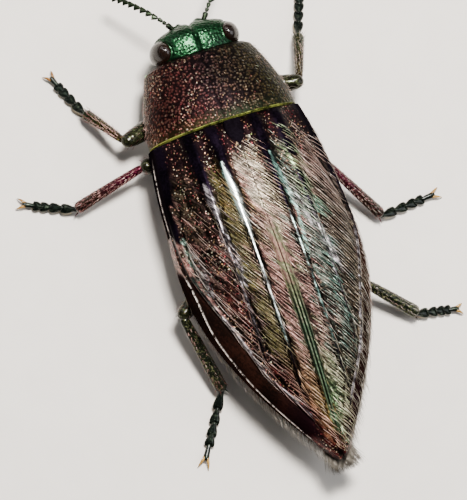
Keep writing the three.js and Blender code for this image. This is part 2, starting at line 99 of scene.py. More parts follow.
def unit(vectors):
    """Vectors at length one."""
    return vectors / np.maximum(np.linalg.norm(vectors, axis=-1, keepdims=True), 1e-12)


def stacked(*parts):
    """Values of matching shapes, side by side on a new last axis."""
    return np.stack(np.broadcast_arrays(*parts), -1)


def steps(count, first=0, last=1):
    """Even steps down a column."""
    return np.linspace(first, last, count)[:, None]


def from_to(start, stop, s):
    """Evenly from start (s = 0) to stop (s = 1)."""
    return start + (stop - start) * s


def powered(value, power):
    """sign(v) |v|^power."""
    return np.sign(value) * np.abs(value) ** power


def smooth_step(value, low, high):
    """0 at low, 1 at high and an S curve between them, which falls where low is the greater."""
    t = np.clip((value - low) / (high - low), 0, 1)
    return t * t * (3 - 2 * t)


def bump(value, centre, spread):
    """Bell curve: exp(-((value - centre) / spread)^2)."""
    return np.exp(-(((value - centre) / spread) ** 2))


def rounded(s, power, least):
    """Closes both ends of a tube: sqrt(1 - |2s - 1|^power), whose square isn't under `least`."""
    return np.sqrt(np.clip(1 - np.abs(2 * s - 1) ** power, least, 1))


def bent(start, bend, tip, s):
    """The curve (1 - s)^2 start + 2 s (1 - s) bend + s^2 tip."""
    return (1 - s) ** 2 * start + 2 * s * (1 - s) * bend + s**2 * tip


def even_spread(count):
    """Evenly scattered pairs in the unit square: multiples of two irrational steps."""
    steps = np.array([0.7548776662466927, 0.5698402909980532])
    return ((np.arange(1, count + 1)[:, None] * steps) % 1.0).T


def centre_line(node, near, count=9):
    """Middle line of a limb's solid, from the end that is nearest to a point.

    The solid's longest direction is found, and at each of `count` stations along it the
    line passes the mean of the vertices, weighted by a bell curve round the station.
    """
    points = cad_points(node)
    centre = points.mean(0)
    axis = np.linalg.svd(points - centre, full_matrices=False)[2][0]
    along = (points - centre) @ axis
    ends = [centre + axis * along.min(), centre + axis * along.max()]
    if np.linalg.norm(ends[1] - near) < np.linalg.norm(ends[0] - near):
        axis = -axis
        along = -along
    stations = np.linspace(along.min(), along.max(), count)
    spread = (along.max() - along.min()) / count * 1.3
    weight = bump(stations[:, None], along[None], spread)
    mean = weight @ points / weight.sum(1, keepdims=True)
    return mean + np.outer(stations - (mean - centre) @ axis, axis)


def resampled(path, count):
    """A smooth cubic curve through a row of points, at `count` even stations."""
    t = np.linspace(0, 1, len(path))
    s = np.linspace(0, 1, count)
    return np.stack([np.polyval(np.polyfit(t, path[:, k], 3), s) for k in range(3)], 1)


def stretch_of(path, first, last, count):
    """The part of a path between two shares of its length."""
    index = np.linspace(first, last, count) * (len(path) - 1)
    return np.stack([np.interp(index, np.arange(len(path)), path[:, j]) for j in range(3)], 1)


def pit_field(points, spacing, radius, seed):
    """Depth 0..1 of round pits over a surface, given as points (..., 3).

    Space is cut into cubes of side `spacing` with one centre at a random place in each, and
    the depth is 1 - (distance to the nearest centre / radius)^2, not below 0.
    """
    size = 64  # cubes on a side before the random places repeat
    jitter = np.random.default_rng(seed).uniform(0.1, 0.9, (size, size, size, 3))
    cell = np.floor(points / spacing).astype(int)
    depth = np.zeros(points.shape[:-1])
    for step in np.ndindex(3, 3, 3):
        near = cell + np.array(step) - 1
        centre = (near + jitter[tuple(np.moveaxis(near % size, -1, 0))]) * spacing
        depth = np.maximum(depth, 1 - (((points - centre) / radius) ** 2).sum(-1))
    return depth


# ---- meshes from arrays ----


class Form:
    """Points, faces and values of one piece, gathered from closed shapes.

    For the materials, `place` is (across -1..1, share of the wing length, tone), `marks` are three masks, and
    `lights` are three masks of painted highlights. `uv` is the unwrap that a coat is baked on.
    """

    WIDTHS = {"place": 3, "marks": 3, "lights": 3, "uv": 2}

    def __init__(self):
        self.points = []
        self.faces = []
        self.values = {name: [] for name in self.WIDTHS}
        self.count = 0

    def add(self, points, faces, **values):
        """Adds a shape. faces are arrays of corner numbers counted from 0."""
        for block in faces:
            self.faces.extend((block + self.count).tolist())
        self.points.append(points)
        for name, width in self.WIDTHS.items():
            self.values[name].append(values.get(name, np.zeros((len(points), width))))
        self.count += len(points)

    def loft(self, rings, fan=True, **values):
        """Closed shape from rings (m, n, 3): quads between rings, and a fan or a face at each end.

        Its faces are turned outwards by the sign of the volume sum of a . (b x c). Each of
        `values` is up to three columns, and a column that is shorter than the rings leaves
        0 after its end.
        """
        m, n, _ = rings.shape
        points = rings.reshape(-1, 3)
        grid = np.arange(m * n).reshape(m, n)
        turned = np.roll(grid, -1, axis=1)
        quads = np.stack([grid[:-1], turned[:-1], turned[1:], grid[1:]], -1).reshape(-1, 4)
        caps = [grid[0][::-1][None], grid[-1][None]]
        if fan:
            points = np.concatenate([points, rings[[0, -1]].mean(1)])
            caps = [stacked(turned[0], grid[0], m * n), stacked(grid[-1], turned[-1], m * n + 1)]
        a, b, c, d = (points[quads[:, k]] - points.mean(0) for k in range(4))
        volume = (a * (np.cross(b, c) + np.cross(c, d))).sum()
        blocks = [quads, *caps]
        if volume < 0:
            blocks = [block[:, ::-1] for block in blocks]
        for name, columns in values.items():
            layer = np.zeros(rings.shape)
            for k, column in enumerate(columns):
                layer[:, : column.shape[1] if column.shape[1] > 1 else n, k] = column
            flat = layer.reshape(-1, 3)
            values[name] = np.concatenate([flat, layer[[0, -1]].mean(1)]) if fan else flat
        self.add(points, blocks, **values)
        return self

    def piece(self, name, finish, slot, node=None):
        """Makes the Blender object, smooth but for creases; hair is unwrapped instead."""
        mesh = bpy.data.meshes.new(name)
        mesh.from_pydata(to_frame(np.concatenate(self.points)).tolist(), [], self.faces)
        for label in ("place", "marks", "lights"):
            layer = mesh.attributes.new(label, "FLOAT_VECTOR", "POINT")
            layer.data.foreach_set("vector", np.concatenate(self.values[label]).ravel())
        mesh.polygons.foreach_set("use_smooth", np.ones(len(mesh.polygons), dtype=bool))
        if slot == "hair":
            corner = np.empty(len(mesh.loops), dtype=np.int32)
            mesh.loops.foreach_get("vertex_index", corner)
            layer = mesh.uv_layers.new(name="OFBake")
            layer.uv.foreach_set("vector", np.concatenate(self.values["uv"])[corner].ravel())
        else:
            mesh.set_sharp_from_angle(angle=math.radians(40))
        mesh.materials.append(FINISHES[finish])
        made = in_scene(name, mesh)
        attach(made, "root")
        if node:
            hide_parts(node)


def in_scene(name, data):
    """A Blender object for a mesh, a lamp or a camera, put into the scene."""
    made = bpy.data.objects.new(name, data)
    bpy.context.scene.collection.objects.link(made)
    return made


def turns(count):
    """Even angles round a circle."""
    return np.arange(count) / count * 2 * np.pi


def tube(path, wide, high, sides=20, up=UP):
    """Rings round a path: at each station an ellipse, `wide` across and `high` over it."""
    tangent = unit(np.gradient(path, axis=0))
    across = unit(np.cross(tangent, up))
    over = np.cross(across, tangent)
    x = np.broadcast_to(wide, len(path))[:, None] * np.cos(turns(sides))
    z = np.broadcast_to(high, len(path))[:, None] * np.sin(turns(sides))
    return path[:, None] + across[:, None] * x[..., None] + over[:, None] * z[..., None]


def scaled_round(path, rings, share):
    """Rings drawn in or out from their path by a share."""
    return path[:, None] + (rings - path[:, None]) * share


def egg_rings(centre, axes, rings, sides, lean=0.0):
    """Rings of an egg with three half axes, leaned about y: cos/sin of latitude and angle."""
    latitude = ((np.arange(rings) + 0.5) / rings * np.pi)[:, None]
    x = axes[0] * np.sin(latitude) * np.cos(turns(sides))
    y = axes[1] * np.sin(latitude) * np.sin(turns(sides))
    z = axes[2] * np.cos(latitude)
    cos, sin = math.cos(lean), math.sin(lean)
    return stacked(x * cos + z * sin, y, z * cos - x * sin) + np.array(centre)


# ---- the body's curves ----

HALF_WIDTH = 4.45
WIDEST_AT = 0.38
CROWN = 2.8
SHOULDER_CROWN = 2.4
CROWN_AT = 0.35
RIM_HEIGHT = 2.2
SQUARE = 2.3  # power of the superellipse across the back; 2 is round
SHELL = 0.55  # thickness of a wing case
SLIT = 0.022  # half the gap between the wing cases
SEAM_REACH = 0.4  # from the seam to where its mask has faded out
RIB_FADES = ((0.74, 0.9), (0.6, 0.78), (0.83, 0.92))  # where each rib sinks into the surface

# heights and depths of the forms on the wing cases
RIB, GROOVE, SEAM_BEAD, SEAM_LINE, RIM_BEAD = 0.1, 0.045, 0.06, 0.04, 0.04


def wing_half_width(t):
    """Bulges to the widest place, then a quarter cosine to the tip."""
    before = np.clip((WIDEST_AT - t) / WIDEST_AT, 0, 2)
    after = np.clip((t - WIDEST_AT) / (1 - WIDEST_AT), 0, 1)
    return HALF_WIDTH * (1 - 0.157 * before**1.7) * np.cos(after * np.pi / 2)


def wing_crown(t):
    """Height of the back over the rim: a quarter sine up, a quarter cosine^0.6 down."""
    lip = 0.25 * (1 - np.clip(t / 0.035, 0, 1)) ** 2
    rise = from_to(SHOULDER_CROWN, CROWN, np.sin(np.clip(t / CROWN_AT, 0, 1) * np.pi / 2))
    fall = np.clip((t - CROWN_AT) / (1 - CROWN_AT), 0, 1)
    return np.where(t < CROWN_AT, rise - lip, CROWN * np.cos(fall * np.pi / 2) ** 0.6)


def wing_rim(t):
    """The side rim climbs a little with the square of the length."""
    return RIM_HEIGHT + 0.25 * t * t


def belly_height(t):
    """The keel of the belly, which rises towards the tail."""
    return 0.95 + 1.2 * np.clip((t - 0.45) / 0.55, 0, 1) ** 2.2


def rib_places(t):
    """Shares of the half width where the inner, middle and outer rib run."""
    outer = 0.93 - 0.165 * smooth_step(t, 0.3, 0.64) - 0.27 * smooth_step(t, 0.68, 0.92)
    middle = np.minimum(2.2 / wing_half_width(t), outer - 0.11)
    inner = np.minimum(1.05 / wing_half_width(t), middle - 0.11)
    return inner, middle, outer


def rib_breadth(t, broad, thin):
    """Half width of a rib: broad at the shoulder, a thin line from a third of the length on."""
    return from_to(thin, broad, smooth_step(t, 0.35, 0.08))


def rib_gaps(t, f):
    """For each rib the distance to its crest, and what is left of its height."""
    for place, fades in zip(rib_places(t), RIB_FADES):
        yield np.abs(f - place) * wing_half_width(t), 1 - smooth_step(t, *fades)


def rim_line(t):
    """Share of the half width where the bead along the rim runs."""
    return 0.985 - 0.035 * bump(t, 0.44, 0.09) - 0.012 * bump(t, 0.6, 0.1)


def wing_masks(t, f):
    """(rib, band, seam) masks: on a rib, on the smooth side band, near the middle seam.

    A rib is 1 where the distance to its crest is under its half width, falls to -1 in the grooves beside it,
    where the finish paints shade, and fades out towards the tail. The band lies between the outer rib and the
    rim, and everywhere under the rim bead, where its dark colour is painted shade. The seam mask falls evenly
    from 1 at the seam to 0 at SEAM_REACH.
    """
    reach = rib_breadth(t, 0.31, 0.05)
    rib = 0
    for gap, left in rib_gaps(t, f):
        crest = smooth_step(gap, reach * 1.35, reach * 0.55)
        groove = bump(gap, reach + 0.1, 0.075) * (1 - crest) * smooth_step(t, 0.1, 0.2)
        rib = rib + (crest - groove) * left
    outer = rib_places(t)[2]
    line = rim_line(t)
    band = np.maximum(smooth_step(f, outer + 0.012, outer + 0.035),
                      smooth_step(f, line + 0.003, line + 0.008))
    seam = np.clip(1 - f * wing_half_width(t) / SEAM_REACH, 0, 1)
    return np.clip(rib, -1, 1), band * smooth_step(t, 0.94, 0.88), seam


# Painted highlights on the wing cases, soft spindles of paint: pale ones, and metal ones that show the
# metal's colour at its brightest as a painted sheen. Each runs from (t, a) to (t, a), with breadth and level.
# t is the share of the length and a the share across, left side positive.
PAINTED_PALE_HIGHLIGHTS = (
    ((0.11, 0.285), (0.33, 0.225), 0.26, 1.0),
    ((0.15, 0.54), (0.27, 0.49), 0.2, 0.4),
    ((0.25, 0.52), (0.46, 0.46), 0.24, 0.55),
    ((0.27, 0.9), (0.47, 0.81), 0.24, 0.75),
    ((0.12, -0.28), (0.31, -0.34), 0.17, 0.8),
    ((0.3, -0.33), (0.44, -0.28), 0.1, 0.6),
    ((0.24, -0.38), (0.5, -0.62), 0.26, 0.6),
)
PAINTED_METAL_SHEENS = (
    ((0.1, 0.12), (0.27, 0.04), 0.42, 1.0),
    ((0.17, 0.0), (0.44, -0.06), 0.42, 0.85),
    ((0.17, 0.92), (0.32, 0.77), 0.2, 0.75),
    ((0.25, 0.99), (0.39, 0.93), 0.3, 1.0),
    ((0.12, -0.36), (0.24, -0.74), 0.26, 0.8),
    ((0.78, 0.26), (0.935, 0.42), 0.5, 1.0),
    ((0.73, -0.1), (0.92, -0.3), 0.4, 0.9),
    ((0.5, -0.2), (0.76, -0.24), 0.42, 0.65),
)
# A painted highlight down each rib, a hair line of pale paint: the shares of the length where it starts, is
# full, fades and is gone, and its level on the left and on the right.
PAINTED_RIB_HIGHLIGHTS = (
    (0.28, 0.36, 0.56, 0.7, (1.0, 0.6)),
    (0.3, 0.4, 0.5, 0.62, (0.35, 0.35)),
    (0.36, 0.46, 0.8, 0.87, (0.5, 0.5)),
)


def painted_highlight_spindles(lights, t, a):
    """Painted highlights: spindles of paint round the lines between pairs of places.

    Each is full up to half its breadth and gone at 1.2 of it; the breadth swells with the
    sine of the share along the line.
    """
    x, y = a * wing_half_width(t), t * WING_LENGTH
    total = np.zeros(np.shape(t * a))
    for (t_from, a_from), (t_to, a_to), breadth, level in lights:
        x_from, y_from = a_from * wing_half_width(t_from), t_from * WING_LENGTH
        dx, dy = a_to * wing_half_width(t_to) - x_from, (t_to - t_from) * WING_LENGTH
        share = np.clip(((x - x_from) * dx + (y - y_from) * dy) / (dx * dx + dy * dy), 0, 1)
        gap = np.hypot(x - x_from - share * dx, y - y_from - share * dy)
        half = breadth * (0.25 + 0.75 * np.sin(share * np.pi))
        total = np.maximum(total, level * smooth_step(gap / half, 1.2, 0.5))
    return total


def painted_wing_highlights(t, f, side):
    """(pale, edge, metal) masks of the painted highlights on a wing case.

    The pale masks are painted highlights, soft spindles and hair lines down the ribs. The edge is a painted
    highlight, a hair line along the rim bead that ends before the tail. The metal masks are painted sheens,
    spindles astride the seam, on the side and at the tail.
    """
    pale = painted_highlight_spindles(PAINTED_PALE_HIGHLIGHTS, t, side * f)
    for (gap, _), (first, full, dim, last, levels) in zip(rib_gaps(t, f), PAINTED_RIB_HIGHLIGHTS):
        along = smooth_step(t, first, full) * (1 - smooth_step(t, dim, last))
        pale = np.maximum(pale, levels[side < 0] * along * smooth_step(gap, 0.085, 0.03))
    metal = painted_highlight_spindles(PAINTED_METAL_SHEENS, t, side * f)
    line = rim_line(t)
    steep = wing_crown(t) * line ** (SQUARE - 1) * (1 - line**SQUARE) ** (1 / SQUARE - 1)
    edge = bump((f - line) * np.hypot(wing_half_width(t), steep), 0, 0.045)
    edge = edge * smooth_step(t, 0.02, 0.08) * smooth_step(t, 0.925, 0.885)
    return pale, edge * (1 - metal), metal


def arch(f, height, power):
    """Height of the superellipse |x|^n + |z|^n = 1 over the share f of its half width."""
    return height * np.clip(1 - np.abs(f) ** power, 0, 1) ** (1 / power)


def dome(f, half_width, crown, power):
    """The arch's height with x and z of its outward normal, f^(n-1) / a and z^(n-1) / b."""
    over = arch(f, crown, power)
    steep_x = powered(f, power - 1) / half_width
    steep_z = (over / crown) ** (power - 1) / crown
    size = np.hypot(steep_x, steep_z)
    return over, steep_x / size, steep_z / size


def wing_outer(t, f, side, pits=0.0):
    """Outer face of a wing case at the share t of its length and f of its half width.

    A superellipse over the rim, pushed out along its normal by the ribs, the seam bead and
    the rim bead, and pushed in by the depth of the pits.
    """
    half_width = wing_half_width(t)
    f = np.clip(f, 0, 1)
    over, normal_x, normal_z = dome(f, half_width, wing_crown(t), SQUARE)
    half = rib_breadth(t, 0.3, 0.08)
    push = 0
    for gap, left in rib_gaps(t, f):
        crest = smooth_step(gap, half * 1.5, half * 0.25)
        push = push + (RIB * crest - GROOVE * bump(gap, half * 1.9, half * 0.55)) * left
    from_seam = f * half_width
    raised = smooth_step(t, 0.22, 0.4)
    push = push + SEAM_BEAD * raised * smooth_step(from_seam, 0.24, 0.14)
    push = push - SEAM_LINE * raised * bump(from_seam, 0.28, 0.06)
    push = push + RIM_BEAD * bump(f, rim_line(t), 0.005) * smooth_step(t, 0.02, 0.06)
    push = (push - pits) * np.clip(half_width / 1.2, 0, 1)
    x = SLIT + (from_seam + push * normal_x) * (1 - SLIT / half_width)
    return stacked(side * x, t * WING_LENGTH, wing_rim(t) + over + push * normal_z)


def inside_shell(size):
    """A half width or a height less the shell's thickness, or less 0.42 of itself."""
    return size - np.minimum(SHELL, 0.42 * size)


def wing_case(side):
    """One wing case: outer face, rim, inner face and seam edge as closed rings.

    Shares across are sin(q 90 degrees)^(2/n), which spaces the stations evenly on the arc.
    """
    t = (WING_END * np.linspace(0, 1, 430) ** 1.03)[:, None]
    q = np.concatenate([np.linspace(0, 1, 138), np.linspace(1, 0, 10)])[None]
    f, under = np.split(np.sin(q * np.pi / 2) ** (2 / SQUARE), [138], axis=1)
    masks = wing_masks(t, f)
    bare = np.clip(np.maximum(masks[0], 0) + masks[1], 0, 1)
    pits = pit_field(wing_outer(t, f, side), *PITS["wing"]) * (1 - bare)
    room, roof = inside_shell(wing_half_width(t)), inside_shell(wing_crown(t))
    inner = stacked(side * (SLIT + under * room), t * WING_LENGTH, wing_rim(t) + arch(under, roof, SQUARE))
    rings = np.concatenate([wing_outer(t, f, side, PIT_DEPTH * pits), inner], 1)
    # the cut tip is rounded: its rings shrink towards their middle by a quarter circle
    tip = np.clip((t - 0.965) / (WING_END - 0.965), 0, 1)
    rings = scaled_round(rings.mean(1), rings, (0.25 + 0.75 * np.sqrt(1 - tip**2))[..., None])
    across = side * np.concatenate([f, q[:, 138:]], 1)
    return Form().loft(rings, fan=False, place=(across, t, pits), marks=masks, lights=painted_wing_highlights(t, f, side))


# ---- front of the body ----

COLLAR = {
    "length": 3.75, "gap": 0.03, "back": 3.7, "front": 2.62, "bend": 1.7,
    "rim_back": 2.15, "rim_front": 1.95, "crown_back": 2.4, "crown_front": 1.8,
    "swell": 0.2, "square": 2.25,
}
HEAD = {
    "back": -3.2, "front": -5.35, "half_width": 2.1, "half_height": 1.17, "z": 2.46,
    "widest": 0.45, "square": 2.35, "centre": (0, -3.9, 2.46),
}
EYE = {"centre": (1.72, -4.28, 2.72), "axes": (0.5, 0.6, 0.84), "lean": 0.22}


def collar_curves(s):
    """Half width, crown, height of the side edge and y, from the hind edge (0) to the front (1)."""
    half_width = from_to(COLLAR["back"], COLLAR["front"], s ** COLLAR["bend"])
    crown = from_to(COLLAR["crown_back"], COLLAR["crown_front"], s) + COLLAR["swell"] * np.sin(s * np.pi)
    rim = from_to(COLLAR["rim_back"], COLLAR["rim_front"], s)
    return half_width, crown, rim, -from_to(COLLAR["gap"], COLLAR["length"], s)


def collar_outer(s, q, push=0.0):
    """Skin of the pronotum: q runs from the right edge (-1) over the top to the left (1)."""
    half_width, crown, rim, y = collar_curves(s)
    f = powered(np.sin(q * np.pi / 2), 2 / COLLAR["square"])
    over, normal_x, normal_z = dome(f, half_width, crown, COLLAR["square"])
    return stacked(f * half_width + push * normal_x, y, rim + over + push * normal_z)


def pronotum():
    """The domed front shield: dense round pits, a smooth hind border and a rolled front."""
    s = steps(180)
    q = np.linspace(-1, 1, 370)[None]
    border = smooth_step(s, 0.03, 0.014)
    clear = (1 - border) * smooth_step(1 - s, 0.0, 0.04)
    swell = 0.05 * bump(q, 0, 0.28) * bump(s, 0.45, 0.3)
    furrow = 0.05 * bump(q, 0, 0.03) * (1 - border)
    roll = 0.1 * smooth_step(s, 0.02, 0) + 0.16 * smooth_step(s, 0.95, 1.0)
    push = swell - furrow - roll + 0.02 * border
    pits = pit_field(collar_outer(s, q, push), *PITS["collar"]) * clear
    top = collar_outer(s, q, push - 0.025 * pits)
    half_width, _, rim, y = collar_curves(s)
    bottom = stacked(np.linspace(1, -1, 12)[None, 1:-1] * half_width, y, rim - 0.02)
    rings = np.concatenate([top, bottom], 1)
    return Form().loft(rings, fan=False, place=(q, -s), marks=(pits, border + 0 * q))


def trough(angle, half_width, rim, keel, power=0.9):
    """x and z round the underside: half_width cos^power, rim - (rim - keel) sin."""
    return half_width * powered(np.cos(angle), power), rim - (rim - keel) * np.sin(angle)


def prosternum():
    """Flanks and underside of the pronotum, pitted, with a rounded keel."""
    s = steps(110, 0.01, 0.985)
    angle = np.linspace(0, np.pi, 170)[None]
    half_width, _, rim, y = collar_curves(s)
    x, z = trough(angle, half_width - 0.02, rim + 0.03, 0.98 + 0.32 * s, 0.8)
    pits = pit_field(stacked(x, y, z), *PITS["flank"])
    rings = stacked(x * (1 - 0.01 * pits), y, z + 0.028 * pits * np.sin(angle))
    return Form().loft(rings, fan=False, place=(np.cos(angle), -s), marks=(pits,))


def scutellum():
    """The small smooth shield between the wing cases: a leaf, blunt in front."""
    low, high = cad_box("scutellum")
    s = steps(40, 0.01, 0.99)
    across = np.linspace(-1, 1, 33)[None]
    half = (high[0] - low[0]) / 2 * np.clip(1 - (2 * s - 0.72) ** 2 / 1.72, 0.02, 1) ** 0.55
    y = from_to(low[1], high[1], s)
    height = (high[2] - low[2]) * (0.62 + 0.38 * np.sqrt(1 - across**2)) * (0.9 + 0.1 * np.sin(s * np.pi))
    top = stacked(half * across, y, low[2] + height)
    bottom = stacked(half * np.linspace(1, -1, 6), y, low[2])
    return Form().loft(np.concatenate([top, bottom], 1), fan=False)


def head():
    """The head: a squarish egg with a flat, pitted face and a groove down its middle.

    Rings are superellipses whose size swells to the eyes and closes round the face. The
    face sinks between two low brows, round each feeler's socket and round each eye.
    """
    s = (1 - (1 - np.linspace(0, 1, 190)) ** 1.5)[:, None] * 0.9995
    angle = turns(360)[None]
    back = (HEAD["widest"] - s) / HEAD["widest"]
    fore = np.clip((s - HEAD["widest"]) / (1 - HEAD["widest"]), 0, 1)
    size = np.where(s < HEAD["widest"], 1 - 0.26 * back**2, (1 - fore**3.2) ** (1 / 2.1))
    x = powered(np.cos(angle), 2 / HEAD["square"]) * HEAD["half_width"] * size
    z = HEAD["z"] + powered(np.sin(angle), 2 / HEAD["square"]) * HEAD["half_height"] * size
    rings = stacked(x, from_to(HEAD["back"], HEAD["front"], s), z)
    pits = pit_field(rings, *PITS["head"])
    face = smooth_step(s, 0.55, 0.9)
    groove = bump(x, 0, 0.09) * smooth_step(z, 2.2, 2.7)
    brows = face * bump(z, 2.75, 0.35) * (bump(x, 0.42, 0.2) + bump(x, -0.42, 0.2))
    dish = face * bump(z, 2.1, 0.35) * bump(x, 0, 0.7)
    round_eye = 0
    for side in SIDES.values():
        from_eye = (rings - np.array(EYE["centre"]) * (side, 1, 1)) / EYE["axes"]
        round_eye = round_eye + bump(np.linalg.norm(from_eye, axis=-1), 1.14, 0.07)
    root = np.hypot(np.abs(x) - 0.62, z - 2.55)
    socket = face * (bump(root, 0.0, 0.16) - 0.7 * bump(root, 0.26, 0.07))
    lip = face * bump(z, 1.78, 0.05) * (np.abs(x) < 0.9)
    sunk = 0.09 * groove + 0.13 * dish - 0.07 * brows + 0.07 * round_eye + 0.12 * socket
    sunk = sunk + 0.06 * lip + PIT_DEPTH * pits * (1 - 0.8 * np.clip(socket, 0, 1))
    rings = rings - unit(rings - HEAD["centre"]) * sunk[..., None]
    return Form().loft(rings, place=(x / HEAD["half_width"], -1 - s), marks=(pits,))


def eye(side):
    """A large, upright, slightly leaning oval eye."""
    centre = np.array(EYE["centre"]) * (side, 1, 1)
    return Form().loft(egg_rings(centre, EYE["axes"], 60, 80, -side * EYE["lean"]))


def mandible(side):
    """A short curved horn: a tube that tapers and hooks towards the middle."""
    low = cad_box("mandible_left" if side > 0 else "mandible_right")[0]
    s = np.linspace(0, 1, 24)
    path = bent(np.array([side * 0.46, -4.86, 1.72]), np.array([side * 0.5, -5.05, 1.3]),
                np.array([side * 0.1, -4.98, low[2] + 0.06]), s[:, None])
    size = 0.24 * (1 - 0.75 * s**1.4)
    return Form().loft(tube(path, size, size * 0.8, 24, up=(0, 1, 0)))


def lip_and_palps():
    """The upper lip, a small rounded plate, and two pairs of three-jointed palps."""
    form = Form().loft(egg_rings((0, -5.12, 1.62), (0.42, 0.14, 0.22), 24, 40))
    s = np.linspace(0, 1, 14)
    size = (0.045 + 0.025 * s) * rounded(s, 6, 0.08)
    for side in SIDES.values():
        for x, y, z, reach in ((0.72, -4.75, 1.45, 0.75), (0.3, -4.6, 1.32, 0.5)):
            step = np.array([side * 0.1, -0.12, -reach / 3])
            for k in range(3):
                path = np.array([side * x, y, z]) + np.outer(k + s, step)
                form.loft(tube(path, size, size, 12, up=(0, 1, 0)))
    return form


def antenna(name):
    """Eleven segments along the CAD feeler's middle line, threaded on a thin stalk.

    The first is a club, the next two are beads, and from the fourth on each is a flat
    triangle that widens towards its far end, like the tooth of a saw.
    """
    root = np.array([SIDES[name] * 0.62, -4.9, 2.62])
    path = resampled(centre_line("antenna_" + name, root, 12), 221)
    shares = np.cumsum([0, 1.6, 0.62, 0.8, 1, 1, 1, 1, 0.95, 0.9, 0.85, 0.9])
    shares = shares / shares[-1]
    form = Form().loft(tube(path[:214:6], 0.045, 0.045, 10))
    s = np.linspace(0, 1, 17)
    close = rounded(s, 9, 0.05)
    for k in range(11):
        line = stretch_of(path, shares[k], shares[k + 1] - 0.006, 17)
        if k < 3:
            wide, high = (0.15 if k == 0 else 0.115) * (0.7 + 0.3 * s), 0.1
        else:
            wide, high = 0.075 + 0.125 * s**1.2, 0.075
            across = unit(np.cross(unit(np.gradient(line, axis=0)), UP))
            line = line - across * (0.075 * s**1.5)[:, None] * SIDES[name]
        form.loft(tube(line, wide * close, high * close, 20))
    return form


# ---- underside ----

# each plate's first and last share of the wing length, and the seed of its pits
PLATES = {
    "mesosternum": (0.004, 0.09, 21),
    "metasternum": (0.09, 0.355, 22),
    "ventrite_1": (0.355, 0.53, 23),
    "ventrite_2": (0.53, 0.65, 24),
    "ventrite_3": (0.65, 0.76, 25),
    "ventrite_4": (0.76, 0.87, 26),
    "ventrite_5": (0.87, 0.962, 27),
}


def belly_section(t):
    """Half width, rim and keel of the underside."""
    half_width = wing_half_width(t)
    rim = wing_rim(t) - 0.04
    return half_width - np.minimum(0.08, 0.2 * half_width), rim, np.minimum(belly_height(t), rim - 0.2)


def body_plate(first, last, seed):
    """A plate of the underside between two shares of the wing length.

    The half outline runs along under the wing cases, out to the rim and round the belly.
    The plate's ends are rounded over, its front edge tucks under the plate before, and it
    is pitted.
    """
    s = steps(60)
    margin = 0.01 / WING_LENGTH
    t = from_to(first + margin, last - margin, s)
    angle = np.linspace(0, np.pi, 180)[None]
    side, rim, keel = belly_section(t)
    x, z = trough(angle, side, rim, keel)
    pits = pit_field(stacked(x, t * WING_LENGTH, z), 0.2, 0.1, seed)
    edge = np.minimum(s, 1 - s) * (last - first) * WING_LENGTH
    inward = 0.07 * (1 - np.clip(edge / 0.12, 0, 1)) ** 2 + 0.03 * (1 - s) + PIT_DEPTH * pits
    x, z = trough(angle, side - inward, rim, keel + inward)
    under = stacked(x, t * WING_LENGTH, z)
    top_f = np.linspace(-1, 1, 15)[None]
    room = inside_shell(wing_half_width(t)) - 0.12
    roof = np.maximum(inside_shell(wing_crown(t)) - 0.12, 0.02)
    top = stacked(top_f * room, t * WING_LENGTH, rim + arch(top_f, roof, SQUARE))
    rings = np.concatenate([under, top], 1)
    return Form().loft(rings, fan=False, place=(np.cos(angle), t), marks=(pits,))


# ---- legs ----

LEGS = [side + "_" + pair for side in SIDES for pair in ("fore", "mid", "hind")]
FOOT_SHARES = np.array([0, 0.24, 0.42, 0.57, 0.69, 0.9])
CLAW_FROM = 0.84


def limb_ends(node, near):
    """Both ends of a straight limb's middle line, the one nearest to a point first."""
    return centre_line(node, near, 7)[[0, -1]]


def leg_lines(leg):
    """The hip's middle, and the ends of the thigh and of the shin."""
    hip = np.mean(cad_box("coxa_" + leg), axis=0)
    thigh = limb_ends("femur_" + leg, hip)
    return hip, thigh, limb_ends("tibia_" + leg, thigh[1])


def foot_path(leg):
    """Middle line of the foot from the ankle to the root of the claws, at 101 stations."""
    return resampled(centre_line("tarsus_" + leg, leg_lines(leg)[2][1], 12), 101)


def pitted_limb(path, rings, pits, depth):
    """A limb's skin, drawn in by up to `depth` of its thickness; marks: pits, share along it."""
    pits = pit_field(rings, *PITS[pits])
    along = np.linspace(0, 1, len(path))[:, None]
    return Form().loft(scaled_round(path, rings, 1 - depth * pits[..., None]), marks=(pits, along))


def coxa(leg):
    """The hip: an egg in the size of its CAD solid."""
    low, high = cad_box("coxa_" + leg)
    return Form().loft(egg_rings((low + high) / 2, (high - low) / 2, 32, 48))


def femur(leg):
    """The thigh: a spindle with a round knee and a small ring-like trochanter at its root."""
    hip, (start, knee), _ = leg_lines(leg)
    start = from_to(start, hip, 0.4)
    s = np.linspace(0, 1, 60)
    path = from_to(start, knee, s[:, None])
    swell = np.sin(np.pi * s) ** 0.7
    close = rounded(s, 14, 0.02)
    rings = tube(path, (0.3 + 0.17 * swell) * close, (0.3 + 0.1 * swell) * close, 48)
    ring = egg_rings(from_to(start, knee, 0.1), (0.33, 0.3, 0.3), 20, 28)
    return pitted_limb(path, rings, "thigh", 0.05).loft(ring)


